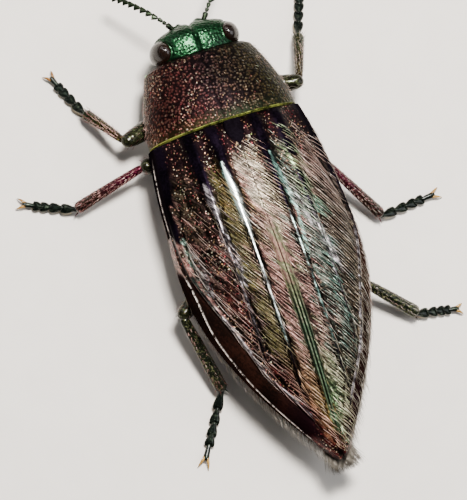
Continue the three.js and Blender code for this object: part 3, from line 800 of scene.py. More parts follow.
def tibia(leg):
    """The shin: a slightly bowed tube with four low edges, wider at the foot, two spurs."""
    knee, ankle = leg_lines(leg)[2]
    s = np.linspace(0, 1, 70)
    path = from_to(knee, ankle, s[:, None]) + np.outer(np.sin(s * np.pi) * 0.05, UP)
    stout = {"fore": 0.0, "mid": 0.02, "hind": 0.05}[leg.split("_")[1]]
    wide = (0.165 + stout + 0.03 * np.sin(s * np.pi) + 0.1 * s**2.2) * rounded(s, 20, 0.03)
    rings = tube(path, wide, wide * 0.88, 40)
    rings = scaled_round(path, rings, 1 + 0.07 * np.cos(turns(40) * 4)[None, :, None])
    form = pitted_limb(path, rings, "shin", 0.06)
    along = unit(ankle - knee)
    across = unit(np.cross(along, UP))
    s = np.linspace(0, 1, 9)
    size = 0.045 * (1 - 0.9 * s)
    for turn in (-1, 1):
        root = ankle - along * 0.05 + across * turn * 0.16 - UP * 0.12
        spur = root + np.outer(s * 0.32, unit(along + across * turn * 0.35 - UP * 0.25))
        form.loft(tube(spur, size, size, 8))
    return form


def tarsus(leg):
    """The foot: four heart-shaped segments that widen forward, and a slender fifth."""
    path = foot_path(leg)
    form = Form()
    s = np.linspace(0, 1, 26)
    close = rounded(s, 9, 0.03)
    lobe = np.outer(smooth_step(s, 0.6, 1), 0.12 * np.abs(np.cos(turns(28))) ** 3)[..., None]
    for k in range(5):
        line = stretch_of(path, max(FOOT_SHARES[k] - 0.02, 0), FOOT_SHARES[k + 1] - 0.004, 26)
        wide, high = 0.12 + 0.13 * smooth_step(s, 0.1, 0.85), 0.12 + 0.06 * (1 - s)
        lobed, lowest = 1.0, 0.05
        if k == 4:
            wide, high = 0.1 + 0.06 * s, 0.1 + 0.04 * s
            lobed, lowest = 0.2, 0.08
        rings = tube(line, wide * close, high * close, 28) + lobe * unit(line[-1] - line[0]) * lobed
        rings[..., 2] = np.maximum(rings[..., 2], lowest)
        form.loft(rings)
    return form


def foot_pads(leg):
    """Soft pale pads under the first four segments, flat on the floor."""
    path = foot_path(leg)
    form = Form()
    s = np.linspace(0, 1, 18)
    close = rounded(s, 4, 0.02)
    for k in range(4):
        line = stretch_of(path, FOOT_SHARES[k] + 0.05, FOOT_SHARES[k + 1] + 0.012, 18)
        rings = tube(line, (0.12 + 0.13 * s) * close, 0.11 * close, 24)
        rings[..., 2] = np.clip(rings[..., 2] - line[:, None, 2] + 0.1, 0.0, 0.16)
        form.loft(rings)
    return form


def claws(leg):
    """Two hooked claws: tubes along a bent path that taper to a point."""
    path = foot_path(leg)
    root = stretch_of(path, CLAW_FROM, CLAW_FROM, 1)[0]
    along = unit((path[-1] - path[60]) * (1, 1, 0))
    across = np.array([-along[1], along[0], 0])
    end = (path[-1] - root) @ along
    form = Form()
    s = np.linspace(0, 1, 22)
    size = 0.085 * (1 - 0.88 * s**1.2)
    for turn in (-1, 1):
        bend = root + along * end * 0.6 + across * turn * 0.2 + UP * 0.14
        tip = root + along * (end - 0.03) + across * turn * 0.27
        tip[2] = 0.05
        form.loft(tube(bent(root + across * turn * 0.05, bend, tip, s[:, None]), size, size, 14))
    return form


# ---- hair ----

COMB = unit(np.array([-0.574, 0.819, 0.0]))  # the way the coat is combed over both wing cases
ACROSS_COMB = np.array([COMB[1], -COMB[0], 0])
BACKWARDS = np.array([0.0, 1.0, 0.0])
COAT = {"spacing": 0.128, "step": 0.46, "wide": 0.034, "length": 1.45, "seed": 50}
LONGEST_HAIR = 1.5
MOST_SHARE = 0.985  # beyond this share of the half width a hair lies in the air


def hairs(form, stations, normals, wide, place, uv, **lights):
    """Adds tapered hairs, each a closed three-sided spike along its own row of stations.

    stations and normals are (4, n, 3): the last station is the tip. The width is
    wide * (1 - s)^0.6 at the share s of the length, and the ridge stands 0.6 of it high.
    """
    side = unit(np.cross(np.gradient(stations, axis=0), normals))[:3]
    half = np.outer((1 - np.arange(3) / 3) ** 0.6 / 2, wide)[..., None]
    low, ridge = stations[:3], stations[:3] + normals[:3] * half * 1.2
    corners = np.stack([low - side * half, low + side * half, ridge], 1)
    points = np.concatenate([corners.reshape(9, -1, 3), stations[3:]]).transpose(1, 0, 2)
    count = points.shape[1]
    base = (np.arange(len(wide)) * count)[:, None, None]
    quads = [[r + k, r + (k + 1) % 3, r + 3 + (k + 1) % 3, r + 3 + k] for r in (0, 3) for k in range(3)]
    tris = [[6 + k, 6 + (k + 1) % 3, 9] for k in range(3)] + [[2, 1, 0]]
    blocks = [(np.array(block) + base).reshape(-1, len(block[0])) for block in (quads, tris)]
    patch = np.array([[(j % 3) * 0.001, (j // 3) * 0.001] for j in range(count)])
    values = {"place": place, **lights}
    form.add(points.reshape(-1, 3), blocks, uv=(uv[:, None] + patch).reshape(-1, 2),
             **{name: np.repeat(layer, count, 0) for name, layer in values.items()})
    return form


def straight_hairs(form, roots, normals, lie, spot, uv, bend, stretch=1.0, shortest=0.0, **spans):
    """Adds hairs that bend a little: root + lie L s + normal (lift s (2 - s) - (L s)^2 / 2 bend).

    spans are the least and most length, wide, tone and lift, drawn in the order given.
    """
    drawn = {name: RNG.uniform(*span, len(roots)) for name, span in spans.items()}
    length = np.clip(drawn["length"] * stretch, shortest, LONGEST_HAIR)
    rows = []
    for s in np.linspace(0, 1, 4):
        rise = drawn["lift"] * s * (2 - s) - (length * s) ** 2 / (2 * bend) - 0.015 * (s == 0)
        rows.append(roots + lie * (length * s)[:, None] + normals * rise[:, None])
    return hairs(form, np.stack(rows), np.broadcast_to(normals, (4, *normals.shape)), drawn["wide"],
                 stacked(*spot, drawn["tone"]), stacked(*uv))


def lie_along(direction, normals):
    """A direction laid flat onto the skin: what is left of it without its normal part."""
    return unit(direction - normals * (direction * normals).sum(1, keepdims=True))


def upright(surface, a, b, step_a, step_b):
    """Upward normals of a surface of two parameters, from its two slopes."""
    da = surface(a + step_a, b) - surface(a - step_a, b)
    db = surface(a, b + step_b) - surface(a, b - step_b)
    normal = unit(np.cross(da, db))
    return normal * np.sign(normal[:, 2:3] + 1e-9)


def plan_shares(plan):
    """Share of the wing length and of the half width for plan positions (x, y)."""
    t = plan[:, 1] / WING_LENGTH
    return t, np.abs(plan[:, 0]) / np.maximum(wing_half_width(t), 0.05)


def back_surface(plan):
    """Point and outward normal of the wing cases over a plan position, and its share across."""
    side = np.where(plan[:, 0] < 0, -1, 1)
    t, share = plan_shares(plan)
    f = np.clip(share, 0.012, MOST_SHARE)
    normal = upright(lambda t, f: wing_outer(t, f, side), t, f, 1e-3, 0.01)
    return wing_outer(t, f, side), normal, share


def combed_rows(seed):
    """Plan positions in rows along the comb, offset like bricks and slightly scattered."""
    rng = np.random.default_rng(seed)
    spacing, step = COAT["spacing"], COAT["step"]
    rows, places = np.meshgrid(np.arange(-14, 14, spacing), np.arange(-14, 26, step), indexing="ij")
    places = places + step * ((np.arange(len(rows)) * 0.618) % 1)[:, None]
    across = rows + rng.normal(0, spacing * 0.1, rows.shape)
    along = places + rng.normal(0, step * 0.25, rows.shape)
    return (across[..., None] * ACROSS_COMB[:2] + along[..., None] * COMB[:2]).reshape(-1, 2)


def coat_chance(t, f, side, rng):
    """Chance that a hair grows at a place, and how ragged the coat is beside the outer rib.

    The ribs, the side band, a parting along the seam and the front stay bare. On the right
    the coat starts further forward and hangs over the shoulder's ribs and the rim.
    """
    rib, band, seam = wing_masks(t, f)
    start = 0.05 + 0.06 * smooth_step(side * f, 0.15, 0.6) + 0.08 * smooth_step(side * f, 0.5, 0.65)
    start = start - 0.02 * smooth_step(-side * f, 0.35, 0.6) + rng.normal(0, 0.015, len(t))
    *_, (from_outer, _) = rib_gaps(t, f)
    ragged = smooth_step(from_outer, 0.2, 0.08) * bump(t, 0.62, 0.26)
    overhung = (side < 0) * smooth_step(t, 0.2, 0.35)
    bare = np.maximum(rib, 0) * 1.2 * (1 - ragged) + band * (1 - overhung)
    bare = bare * (1 - 0.75 * smooth_step(-side * f, 0.35, 0.5) * smooth_step(t, 0.3, 0.2))
    parting = smooth_step(seam, 0.45, 0.6) * smooth_step(t, 0.28, 0.36)
    bare = np.clip(bare + parting * smooth_step(t, 0.86, 0.78), 0, 1)
    sparse = smooth_step(side * f, 0.5, 0.62) * (0.6 - 0.45 * smooth_step(t, 0.4, 0.7))
    return (1 - bare) * (1 - sparse) * smooth_step(t, start, start + 0.04), ragged


def wing_hair(side):
    """The combed coat of one wing case.

    Each hair starts just under the surface and walks three steps over it along the comb,
    or straight on past the rim. Most hairs end before the inner rib, and all of them
    before the seam.
    """
    seed = COAT["seed"] + side
    rng = np.random.default_rng(seed + 100)
    plan = combed_rows(seed)
    t, f = plan_shares(plan)
    plan = plan[(plan[:, 0] * side > 0) & (t > 0.03) & (t < 0.94) & (f < 0.975)]
    wanted, ragged = coat_chance(*plan_shares(plan), side, rng)
    keep = rng.uniform(size=len(plan)) < wanted
    plan, ragged = plan[keep], ragged[keep]
    t, f = plan_shares(plan)
    n = len(t)
    comb = COMB + rng.normal(0, 0.018, n)[:, None] * ACROSS_COMB
    length = rng.uniform(0.6, 1.0, n) * COAT["length"] * (0.55 + 0.45 * smooth_step(t, 0.05, 0.2))
    length = length * (1 - 0.55 * smooth_step(t, 0.86, 0.96))
    tip = plan + comb[:, :2] * length[:, None]
    tip_t, tip_f = plan_shares(tip)
    before = f - rib_places(t)[0]
    after = tip_f - rib_places(np.clip(tip_t, 0, 0.97))[0]
    crosses = (before * after < 0) & (t > 0.2) & (t < 0.72) & (rng.uniform(size=n) < 0.85)
    to_rib = np.abs(before) / (np.abs(before) + np.abs(after) + 1e-6)
    length = np.where(crosses, length * np.maximum(to_rib * 0.95, 0.2), length)
    from_seam, margin = plan[:, 0] * side, 0.12
    to_seam = (from_seam - margin) / np.maximum(from_seam - side * tip[:, 0], 1e-6)
    crosses = (side * tip[:, 0] < margin) & (t > 0.28) & (t < 0.84)
    length = np.where(crosses, length * np.clip(to_seam, 0.15, 1), length)
    lift = rng.uniform(0.02, 0.07, n)
    point, normal, _ = back_surface(plan)
    stations, normals = [point - normal * 0.02], [normal]
    for rise in (0.6, 1.0, 1.1):
        ahead = point + lie_along(comb, normal) * (length / 3)[:, None]
        new, new_normal, share = back_surface(ahead[:, :2])
        inside = (share < MOST_SHARE)[:, None]
        point = np.where(inside, new, ahead)
        normal = np.where(inside, new_normal, normal)
        stations.append(point + normal * (lift * rise)[:, None])
        normals.append(normal)
    tone = np.maximum(rng.uniform(0, 1, n), ragged * rng.uniform(0.7, 1, n))
    across = 0.5 + side * 0.48 * np.arcsin(np.clip(f ** (SQUARE / 2), 0, 1)) / (np.pi / 2)
    # the hair carries the wing case's painted highlights (lights) to its finish
    return hairs(Form(), np.stack(stations), np.stack(normals), COAT["wide"] * rng.uniform(0.7, 1.2, n),
                 stacked(side * f, t, tone), stacked(across, 0.01 + 0.97 * t),
                 lights=stacked(*painted_wing_highlights(t, f, side)))


def fringe():
    """Longer pale hair along the sides of the belly under the rims and round the tail tip."""
    form = Form()
    spread_along, spread_round = even_spread(800)
    t = 0.1 + 0.85 * spread_along
    drop = spread_round * 0.9
    for side in SIDES.values():
        rim = wing_rim(t) - 0.06
        x, z = trough(drop, side * (wing_half_width(t) - 0.1), rim, belly_height(t))
        normals = unit(stacked(side * np.cos(drop), 0, -np.sin(drop)))
        direction = np.array([side * 0.25, 1, -0.05]) + RNG.normal(0, 0.12, normals.shape)
        straight_hairs(form, stacked(x, t * WING_LENGTH, z), normals, lie_along(direction, normals),
                       (-0.85, np.minimum(t, 0.85)), (0.5 + side * (0.2 + 0.25 * drop), 0.02 + 0.95 * t),
                       20, 1 + 0.5 * smooth_step(t, 0.6, 0.8),
                       length=(0.35, 0.7), wide=(0.02, 0.034), tone=(0, 0.6), lift=(0.05, 0.16))
    spread_round, spread_along = even_spread(420)
    angle = (spread_round - 0.5) * 2.4
    t = 0.925 + 0.045 * spread_along
    half_width = wing_half_width(t)
    roots = stacked(half_width * 0.75 * np.sin(angle), t * WING_LENGTH,
                    wing_rim(t) - 0.05 - 0.18 * np.cos(angle) * half_width)
    lie = unit(stacked(0.35 * np.sin(angle) - 0.12, 1, -0.12))
    lie = unit(lie + RNG.normal(0, 0.1, lie.shape))
    normals = unit(np.cross(lie, np.cross(-UP, lie)))
    to_end = WING_LENGTH * WING_END + 0.67 - roots[:, 1]
    return straight_hairs(form, roots, normals, lie, (-0.85, np.minimum(t, 0.85)),
                          (0.5 + 0.1 * np.sin(angle), 0.02 + 0.95 * t), 30, to_end, 0.3,
                          length=(0.75, 1.0), tone=(0.2, 0.8), wide=(0.02, 0.036), lift=(-0.05, 0.05))


def collar_hair():
    """Short sparse hair on the pronotum, denser down its sides."""
    along, across = even_spread(1500)
    s = 0.06 + 0.9 * along
    q = (across - 0.5) * 1.96
    keep = RNG.uniform(size=len(s)) < 0.05 + 0.7 * smooth_step(np.abs(q), 0.6, 0.97)
    s, q = s[keep], q[keep]
    normals = upright(collar_outer, s, np.clip(q, -0.98, 0.98), 1e-3, 1e-3)
    lie = lie_along(BACKWARDS + RNG.normal(0, 0.25, normals.shape), normals)
    return straight_hairs(Form(), collar_outer(s, q), normals, lie, (q, -s),
                          (0.5 + 0.48 * q, 0.02 + 0.95 * s), 6,
                          tone=(0, 1), length=(0.12, 0.26), wide=(0.014, 0.022), lift=(0.05, 0.12))


def leg_hair():
    """Stiff pale hair in eight rows down the thighs and shins."""
    form = Form()
    for leg in LEGS:
        _, thigh, shin = leg_lines(leg)
        for (start, stop), count, slim, flare in ((thigh, 110, 0.36, 0.0), (shin, 200, 0.186, 0.093)):
            shares, rounds = even_spread(count)
            s = 0.12 + 0.83 * shares
            along = unit(stop - start)
            across = unit(np.cross(along, UP))
            turn = np.round(rounds * 8) / 8 * 2 * np.pi + RNG.normal(0, 0.12, count)
            normals = np.outer(np.cos(turn), across) + np.outer(np.sin(turn), np.cross(across, along))
            roots = from_to(start, stop, s[:, None]) + normals * (slim + flare * s**2)[:, None]
            lie = unit(along + normals * 0.35 + RNG.normal(0, 0.1, (count, 3)))
            straight_hairs(form, roots, normals, lie, (np.sign(start[0]), s),
                           (0.05 + 0.85 * s, 0.05 + 0.9 * (turn % 6.283) / 6.3), 40,
                           tone=(0, 1), length=(0.16, 0.34), wide=(0.018, 0.028), lift=(0.0, 0.05))
    return form


def belly_hair():
    """Short pale hair over the underside, lying towards the tail."""
    along, around = even_spread(2600)
    t = 0.01 + 0.94 * along
    angle = 0.25 + (np.pi - 0.5) * around
    side, rim, keel = belly_section(t)
    x, z = trough(angle, side - 0.03, rim, keel + 0.03)
    normals = unit(stacked(np.cos(angle) * 0.6, 0, -np.sin(angle)))
    lie = lie_along(BACKWARDS + RNG.normal(0, 0.15, normals.shape), normals)
    return straight_hairs(Form(), stacked(x, t * WING_LENGTH, z), normals, lie, (np.cos(angle), t),
                          (angle / np.pi * 0.95, 0.02 + 0.95 * t), 12,
                          tone=(0, 1), length=(0.2, 0.42), wide=(0.018, 0.028), lift=(0.03, 0.08))


# ---- node helpers ----

METALS = {
    "plum": "5c4046", "maroon": "803430", "rose": "ae8c82", "pink": "cc968c", "cream": "f6e4cc",
    "straw": "d8cca4", "olive": "86804a", "gold": "b89a5c", "bronze": "86745c", "teal": "58988a",
    "sea": "86a092", "leaf": "a2c48c", "moss": "6c7a54", "ash": "827a6e", "wine": "7a2026",
    "bark": "4c3028", "amber": "e4a47c", "mint": "a4d8ca", "snow": "ecf6f2", "lilac": "d2c8cc",
}
FLOAT, COLOUR, VECTOR = "NodeSocketFloat", "NodeSocketColor", "NodeSocketVector"


def linear(code):
    """A web colour such as "8a3a24", or a name from METALS, as linear red, green and blue."""
    code = METALS.get(code, code)
    shares = [int(code[k : k + 2], 16) / 255 for k in (0, 2, 4)]
    return (*[c / 12.92 if c <= 0.04045 else ((c + 0.055) / 1.055) ** 2.4 for c in shares], 1.0)


class Tree:
    """Short calls for making and linking shader nodes: `times` is a product, `most` the largest.

    Colours may be given as web colours or names of metals.
    """

    def __init__(self, tree):
        self.tree = tree

    def put(self, value, socket):
        """Links an output, or sets a plain value, on an input socket."""
        if isinstance(value, bpy.types.NodeSocket):
            self.tree.links.new(value, socket)
        elif value is not None:
            socket.default_value = linear(value) if isinstance(value, str) else value

    def node(self, kind, *inputs, settings=(), **named):
        """A node with its settings and its inputs, numbered or named; gives its outputs."""
        made = self.tree.nodes.new("ShaderNode" + kind)
        for key, value in dict(settings).items():
            setattr(made, key, value)
        for key, value in [*enumerate(inputs), *named.items()]:
            self.put(value, made.inputs[key])
        return made.outputs

    def math(self, operation, *values, clamp=False):
        return self.node("Math", *values, settings={"operation": operation, "use_clamp": clamp})[0]

    def chain(self, operation, first, *more):
        """The same sum over a row of values."""
        for value in more:
            first = self.math(operation, first, value)
        return first

    def times(self, *values):
        return self.chain("MULTIPLY", *values)

    def most(self, *values):
        return self.chain("MAXIMUM", *values)

    def rest(self, value):
        """1 - value."""
        return self.math("SUBTRACT", 1.0, value)

    def off(self, value, place):
        """Distance |value - place|."""
        return self.math("ABSOLUTE", self.math("SUBTRACT", value, place))

    def line(self, value, slope, start):
        """slope value + start."""
        return self.math("MULTIPLY_ADD", value, slope, start)

    def mix(self, share, a, b):
        """Two colours mixed by a share."""
        mixed = self.tree.nodes.new("ShaderNodeMix")
        mixed.data_type = "RGBA"
        for key, value in ((0, share), (6, a), (7, b)):
            self.put(value, mixed.inputs[key])
        return mixed.outputs[2]

    def between(self, value, low, high, out_low=0.0, out_high=1.0):
        """A value mapped smoothly from one range to another."""
        settings = {"interpolation_type": "SMOOTHSTEP"}
        return self.node("MapRange", value, low, high, out_low, out_high, settings=settings)[0]

    def window(self, value, *ends):
        """1 between two soft edges and 0 outside them."""
        return self.times(self.between(value, *ends[:2]), self.between(value, *ends[2:], 1.0, 0.0))

    def ramp(self, value, *stops):
        """A colour ramp over places and colours by turns."""
        made = self.tree.nodes.new("ShaderNodeValToRGB")
        self.put(value, made.inputs[0])
        stop = made.color_ramp.elements
        stop.remove(stop[-1])
        stop[0].position = stops[0]
        for place in stops[2::2]:
            stop.new(place)
        for k, code in enumerate(stops[1::2]):
            stop[k].color = linear(code)
        return made.outputs[0]

    def noise(self, vector, scale, detail=4.0, rough=0.5):
        """Noise value over a vector."""
        return self.node("TexNoise", Vector=vector, Scale=scale, Detail=detail, Roughness=rough)[0]

    def cells(self, vector, scale):
        """Scattered cells: their distance from the middle and their chance colour."""
        return self.node("TexVoronoi", Vector=vector, Scale=scale)

    def parts(self, vector):
        """The three values of a vector."""
        return self.node("SeparateXYZ", vector)


GROUPS = {}


def shared(outputs, **inputs):
    """Turns a function of a tree and its inputs into a shader node group of the same name.

    The function gives one value for each of the named outputs. An input's value says its
    kind: a number, or None for a vector.
    """

    def make(build):
        group = bpy.data.node_groups.new(build.__name__.replace("_", " "), "ShaderNodeTree")
        for label, value in inputs.items():
            kind = VECTOR if value is None else FLOAT
            socket = group.interface.new_socket(label, in_out="INPUT", socket_type=kind)
            if value is not None:
                socket.default_value = value
        for label, kind in outputs.items():
            group.interface.new_socket(label, in_out="OUTPUT", socket_type=kind)
        tree = Tree(group)
        entry, leave = group.nodes.new("NodeGroupInput"), group.nodes.new("NodeGroupOutput")
        made = build(tree, *(entry.outputs[label] for label in inputs))
        for label, value in zip(outputs, made):
            tree.put(value, leave.inputs[label])
        GROUPS[build.__name__] = group
        return build

    return make


@shared({"Plain": VECTOR, "Combed": VECTOR})
def beetle_millimetres(tree):
    """Object coordinates in millimetres, and the same turned and drawn out along the comb."""
    where = tree.node("TexCoord")["Object"]
    plain = tree.node("VectorMath", where, Scale=1 / MM, settings={"operation": "SCALE"})[0]
    combed = tree.node("Mapping", Vector=plain, Rotation=(0, 0, math.atan2(-COMB[0], COMB[1])),
                       Scale=(0.2, 1.3, 0.3), settings={"vector_type": "TEXTURE"})[0]
    return plain, combed


# Metals across the back from the right rim (0) over the seam (0.5) to the left rim (1), for the front, the
# middle and the tail. The cream astride the seam in front is the colour of a painted highlight, and the reds
# of the left side against the greens of the right are the iridescence of one view, painted in as fixed
# colour.
BANDS = (
    (0.0, "ash", 0.1, "rose", 0.17, "rose", 0.22, "bronze", 0.27, "leaf", 0.31, "ash", 0.37, "sea",
     0.41, "pink", 0.46, "straw", 0.49, "cream", 0.55, "cream", 0.58, "pink", 0.64, "gold",
     0.7, "olive", 0.77, "plum", 0.9, "bronze", 0.94, "rose", 0.96, "pink"),
    (0.0, "rose", 0.07, "ash", 0.14, "bronze", 0.21, "ash", 0.255, "teal", 0.285, "sea", 0.32, "ash",
     0.36, "sea", 0.4, "pink", 0.45, "rose", 0.48, "straw", 0.5, "moss", 0.53, "pink", 0.58, "pink",
     0.63, "bronze", 0.69, "olive", 0.75, "plum", 0.785, "rose", 0.82, "maroon", 0.855, "rose",
     0.9, "bark", 0.935, "rose", 0.96, "pink"),
    (0.0, "ash", 0.15, "ash", 0.26, "bronze", 0.33, "straw", 0.4, "leaf", 0.48, "leaf", 0.52, "gold",
     0.58, "gold", 0.64, "amber", 0.72, "amber", 0.8, "maroon", 1.0, "wine"),
)
# Tints of the painted highlights across the back, from the right rim (0) to the left rim (1).
PAINTED_HIGHLIGHT_TINTS = (0.1, "lilac", 0.3, "lilac", 0.34, "mint", 0.37, "mint", 0.4, "snow", 0.63, "snow",
             0.655, "mint", 0.7, "lilac", 0.9, "lilac", 0.945, "sea")


@shared({"Tint": COLOUR, "Tone": FLOAT}, Place=None, Combed=None)
def shimmer(tree, place, combed):
    """The coat's and wing cases' changing metal colour, by place and with combed streaks.

    The three bands of metals melt into each other along the length. The tone is brighter
    and darker in combed patches.
    """
    x, y, _ = tree.parts(place)
    streak = tree.line(tree.noise(combed, 1.6, 3.0, 0.6), 0.16, -0.08)
    drift = tree.line(tree.noise(combed, 0.5, 1.0, 0.5), 0.3, -0.15)
    wander = tree.math("ADD", streak, drift)
    across = tree.math("ADD", tree.line(x, 0.5, 0.5), wander, clamp=True)
    front, middle, tail = (tree.ramp(across, *band) for band in BANDS)
    along = tree.line(wander, 0.5, y)
    colour = tree.mix(tree.between(along, 0.16, 0.4), front, middle)
    colour = tree.mix(tree.between(along, 0.6, 0.84), colour, tail)
    colour = tree.mix(tree.between(along, 0.92, 0.95), colour, "wine")
    return colour, tree.between(tree.noise(combed, 0.42, 2.0, 0.6), 0.4, 0.58, 0.15, 1.0)


@shared({"Tint": COLOUR, "Amount": FLOAT}, Vector=None, Pit=0.0)
def painted_pit_glints(tree, vector, pit):
    """Painted glints: bright dots of metal colour in the pits and in fine punctures between them.

    Patches of wine red, rose, gold, cream and green; each puncture has its own brightness.
    """
    cells = tree.cells(vector, 8.5)
    bright, shift, _ = tree.parts(cells["Color"])
    patch = tree.line(shift, 0.16, tree.noise(vector, 1.7, 3.0, 0.8))
    tint = tree.ramp(patch, 0.38, "5a1e26", 0.48, "a03a44", 0.55, "d8a496", 0.61, "b88c50",
                     0.68, "fbf0dc", 0.8, "8a9c58")
    lit = tree.between(tree.noise(vector, 6.3, 2.0, 0.8), 0.44, 0.66, 0.1, 0.9)
    fine = tree.times(tree.between(cells["Distance"], 0.2, 0.36, 1.0, 0.0), tree.between(bright, 0.35, 1.0))
    return tint, tree.most(tree.times(tree.between(pit, 0.6, 0.9), lit), fine)


@shared({"Height": FLOAT}, Vector=None, Scale=6.0)
def punctures(tree, vector, scale):
    """Height of fine round punctures with a grain between them."""
    hole = tree.between(tree.cells(vector, scale)["Distance"], 0.12, 0.42)
    return [tree.line(tree.noise(vector, 18.0, 3.0), 0.25, hole)]


@shared({"Height": FLOAT}, Vector=None, Scale=16.0, Detail=4.0)
def fine_grain(tree, vector, scale, detail):
    """Height of a fine even grain."""
    return [tree.noise(vector, scale, detail)]


@shared({"Value": FLOAT}, Vector=None)
def uneven_polish(tree, vector):
    """A slow and a fast noise mixed, for roughness and for patches of colour."""
    return [tree.line(tree.noise(vector, 9.0, 4.0, 0.65), 0.5, tree.times(tree.noise(vector, 0.7, 3.0), 0.5))]


class Finish(Tree):
    """A material with its coordinates, uneven polish and the principled shader at hand."""

    def __init__(self, name, **plain):
        self.material = bpy.data.materials.new(name)
        self.material.use_nodes = True
        super().__init__(self.material.node_tree)
        self.shader = self.tree.nodes["Principled BSDF"]
        for key, value in plain.items():
            self.shader.inputs[key.replace("_", " ")].default_value = value
        where = self.group("beetle_millimetres")
        self.plain, self.combed = where["Plain"], where["Combed"]

    def group(self, key, **inputs):
        """Places a shared group and gives its outputs."""
        return self.node("Group", settings={"node_tree": GROUPS[key]}, **inputs)

    def layer(self, name):
        """The vector that the mesh carries under this name."""
        return self.node("Attribute", settings={"attribute_name": name})["Vector"]

    def metals(self):
        """The changing metal colour at each place, and its tone."""
        made = self.group("shimmer", Place=self.layer("place"), Combed=self.combed)
        return made["Tint"], made["Tone"]

    def wear(self):
        """The uneven polish."""
        return self.group("uneven_polish", Vector=self.plain)["Value"]

    def grain(self, scale=16.0, detail=4.0):
        """The fine even grain."""
        return self.group("fine_grain", Vector=self.plain, Scale=scale, Detail=detail)["Height"]

    def relief(self, height, strength, distance):
        """A bump from a height, its depth given in millimetres."""
        bump_map = self.node("Bump", Height=height, Strength=strength, Distance=distance * MM)[0]
        self.put(bump_map, self.shader.inputs["Normal"])

    def finish(self, colour, roughness, metallic=None):
        """Links the changing colour and roughness and gives the material."""
        self.put(colour, self.shader.inputs["Base Color"])
        self.put(roughness, self.shader.inputs["Roughness"])
        self.put(metallic, self.shader.inputs["Metallic"])
        return self.material


# ---- finishes ----


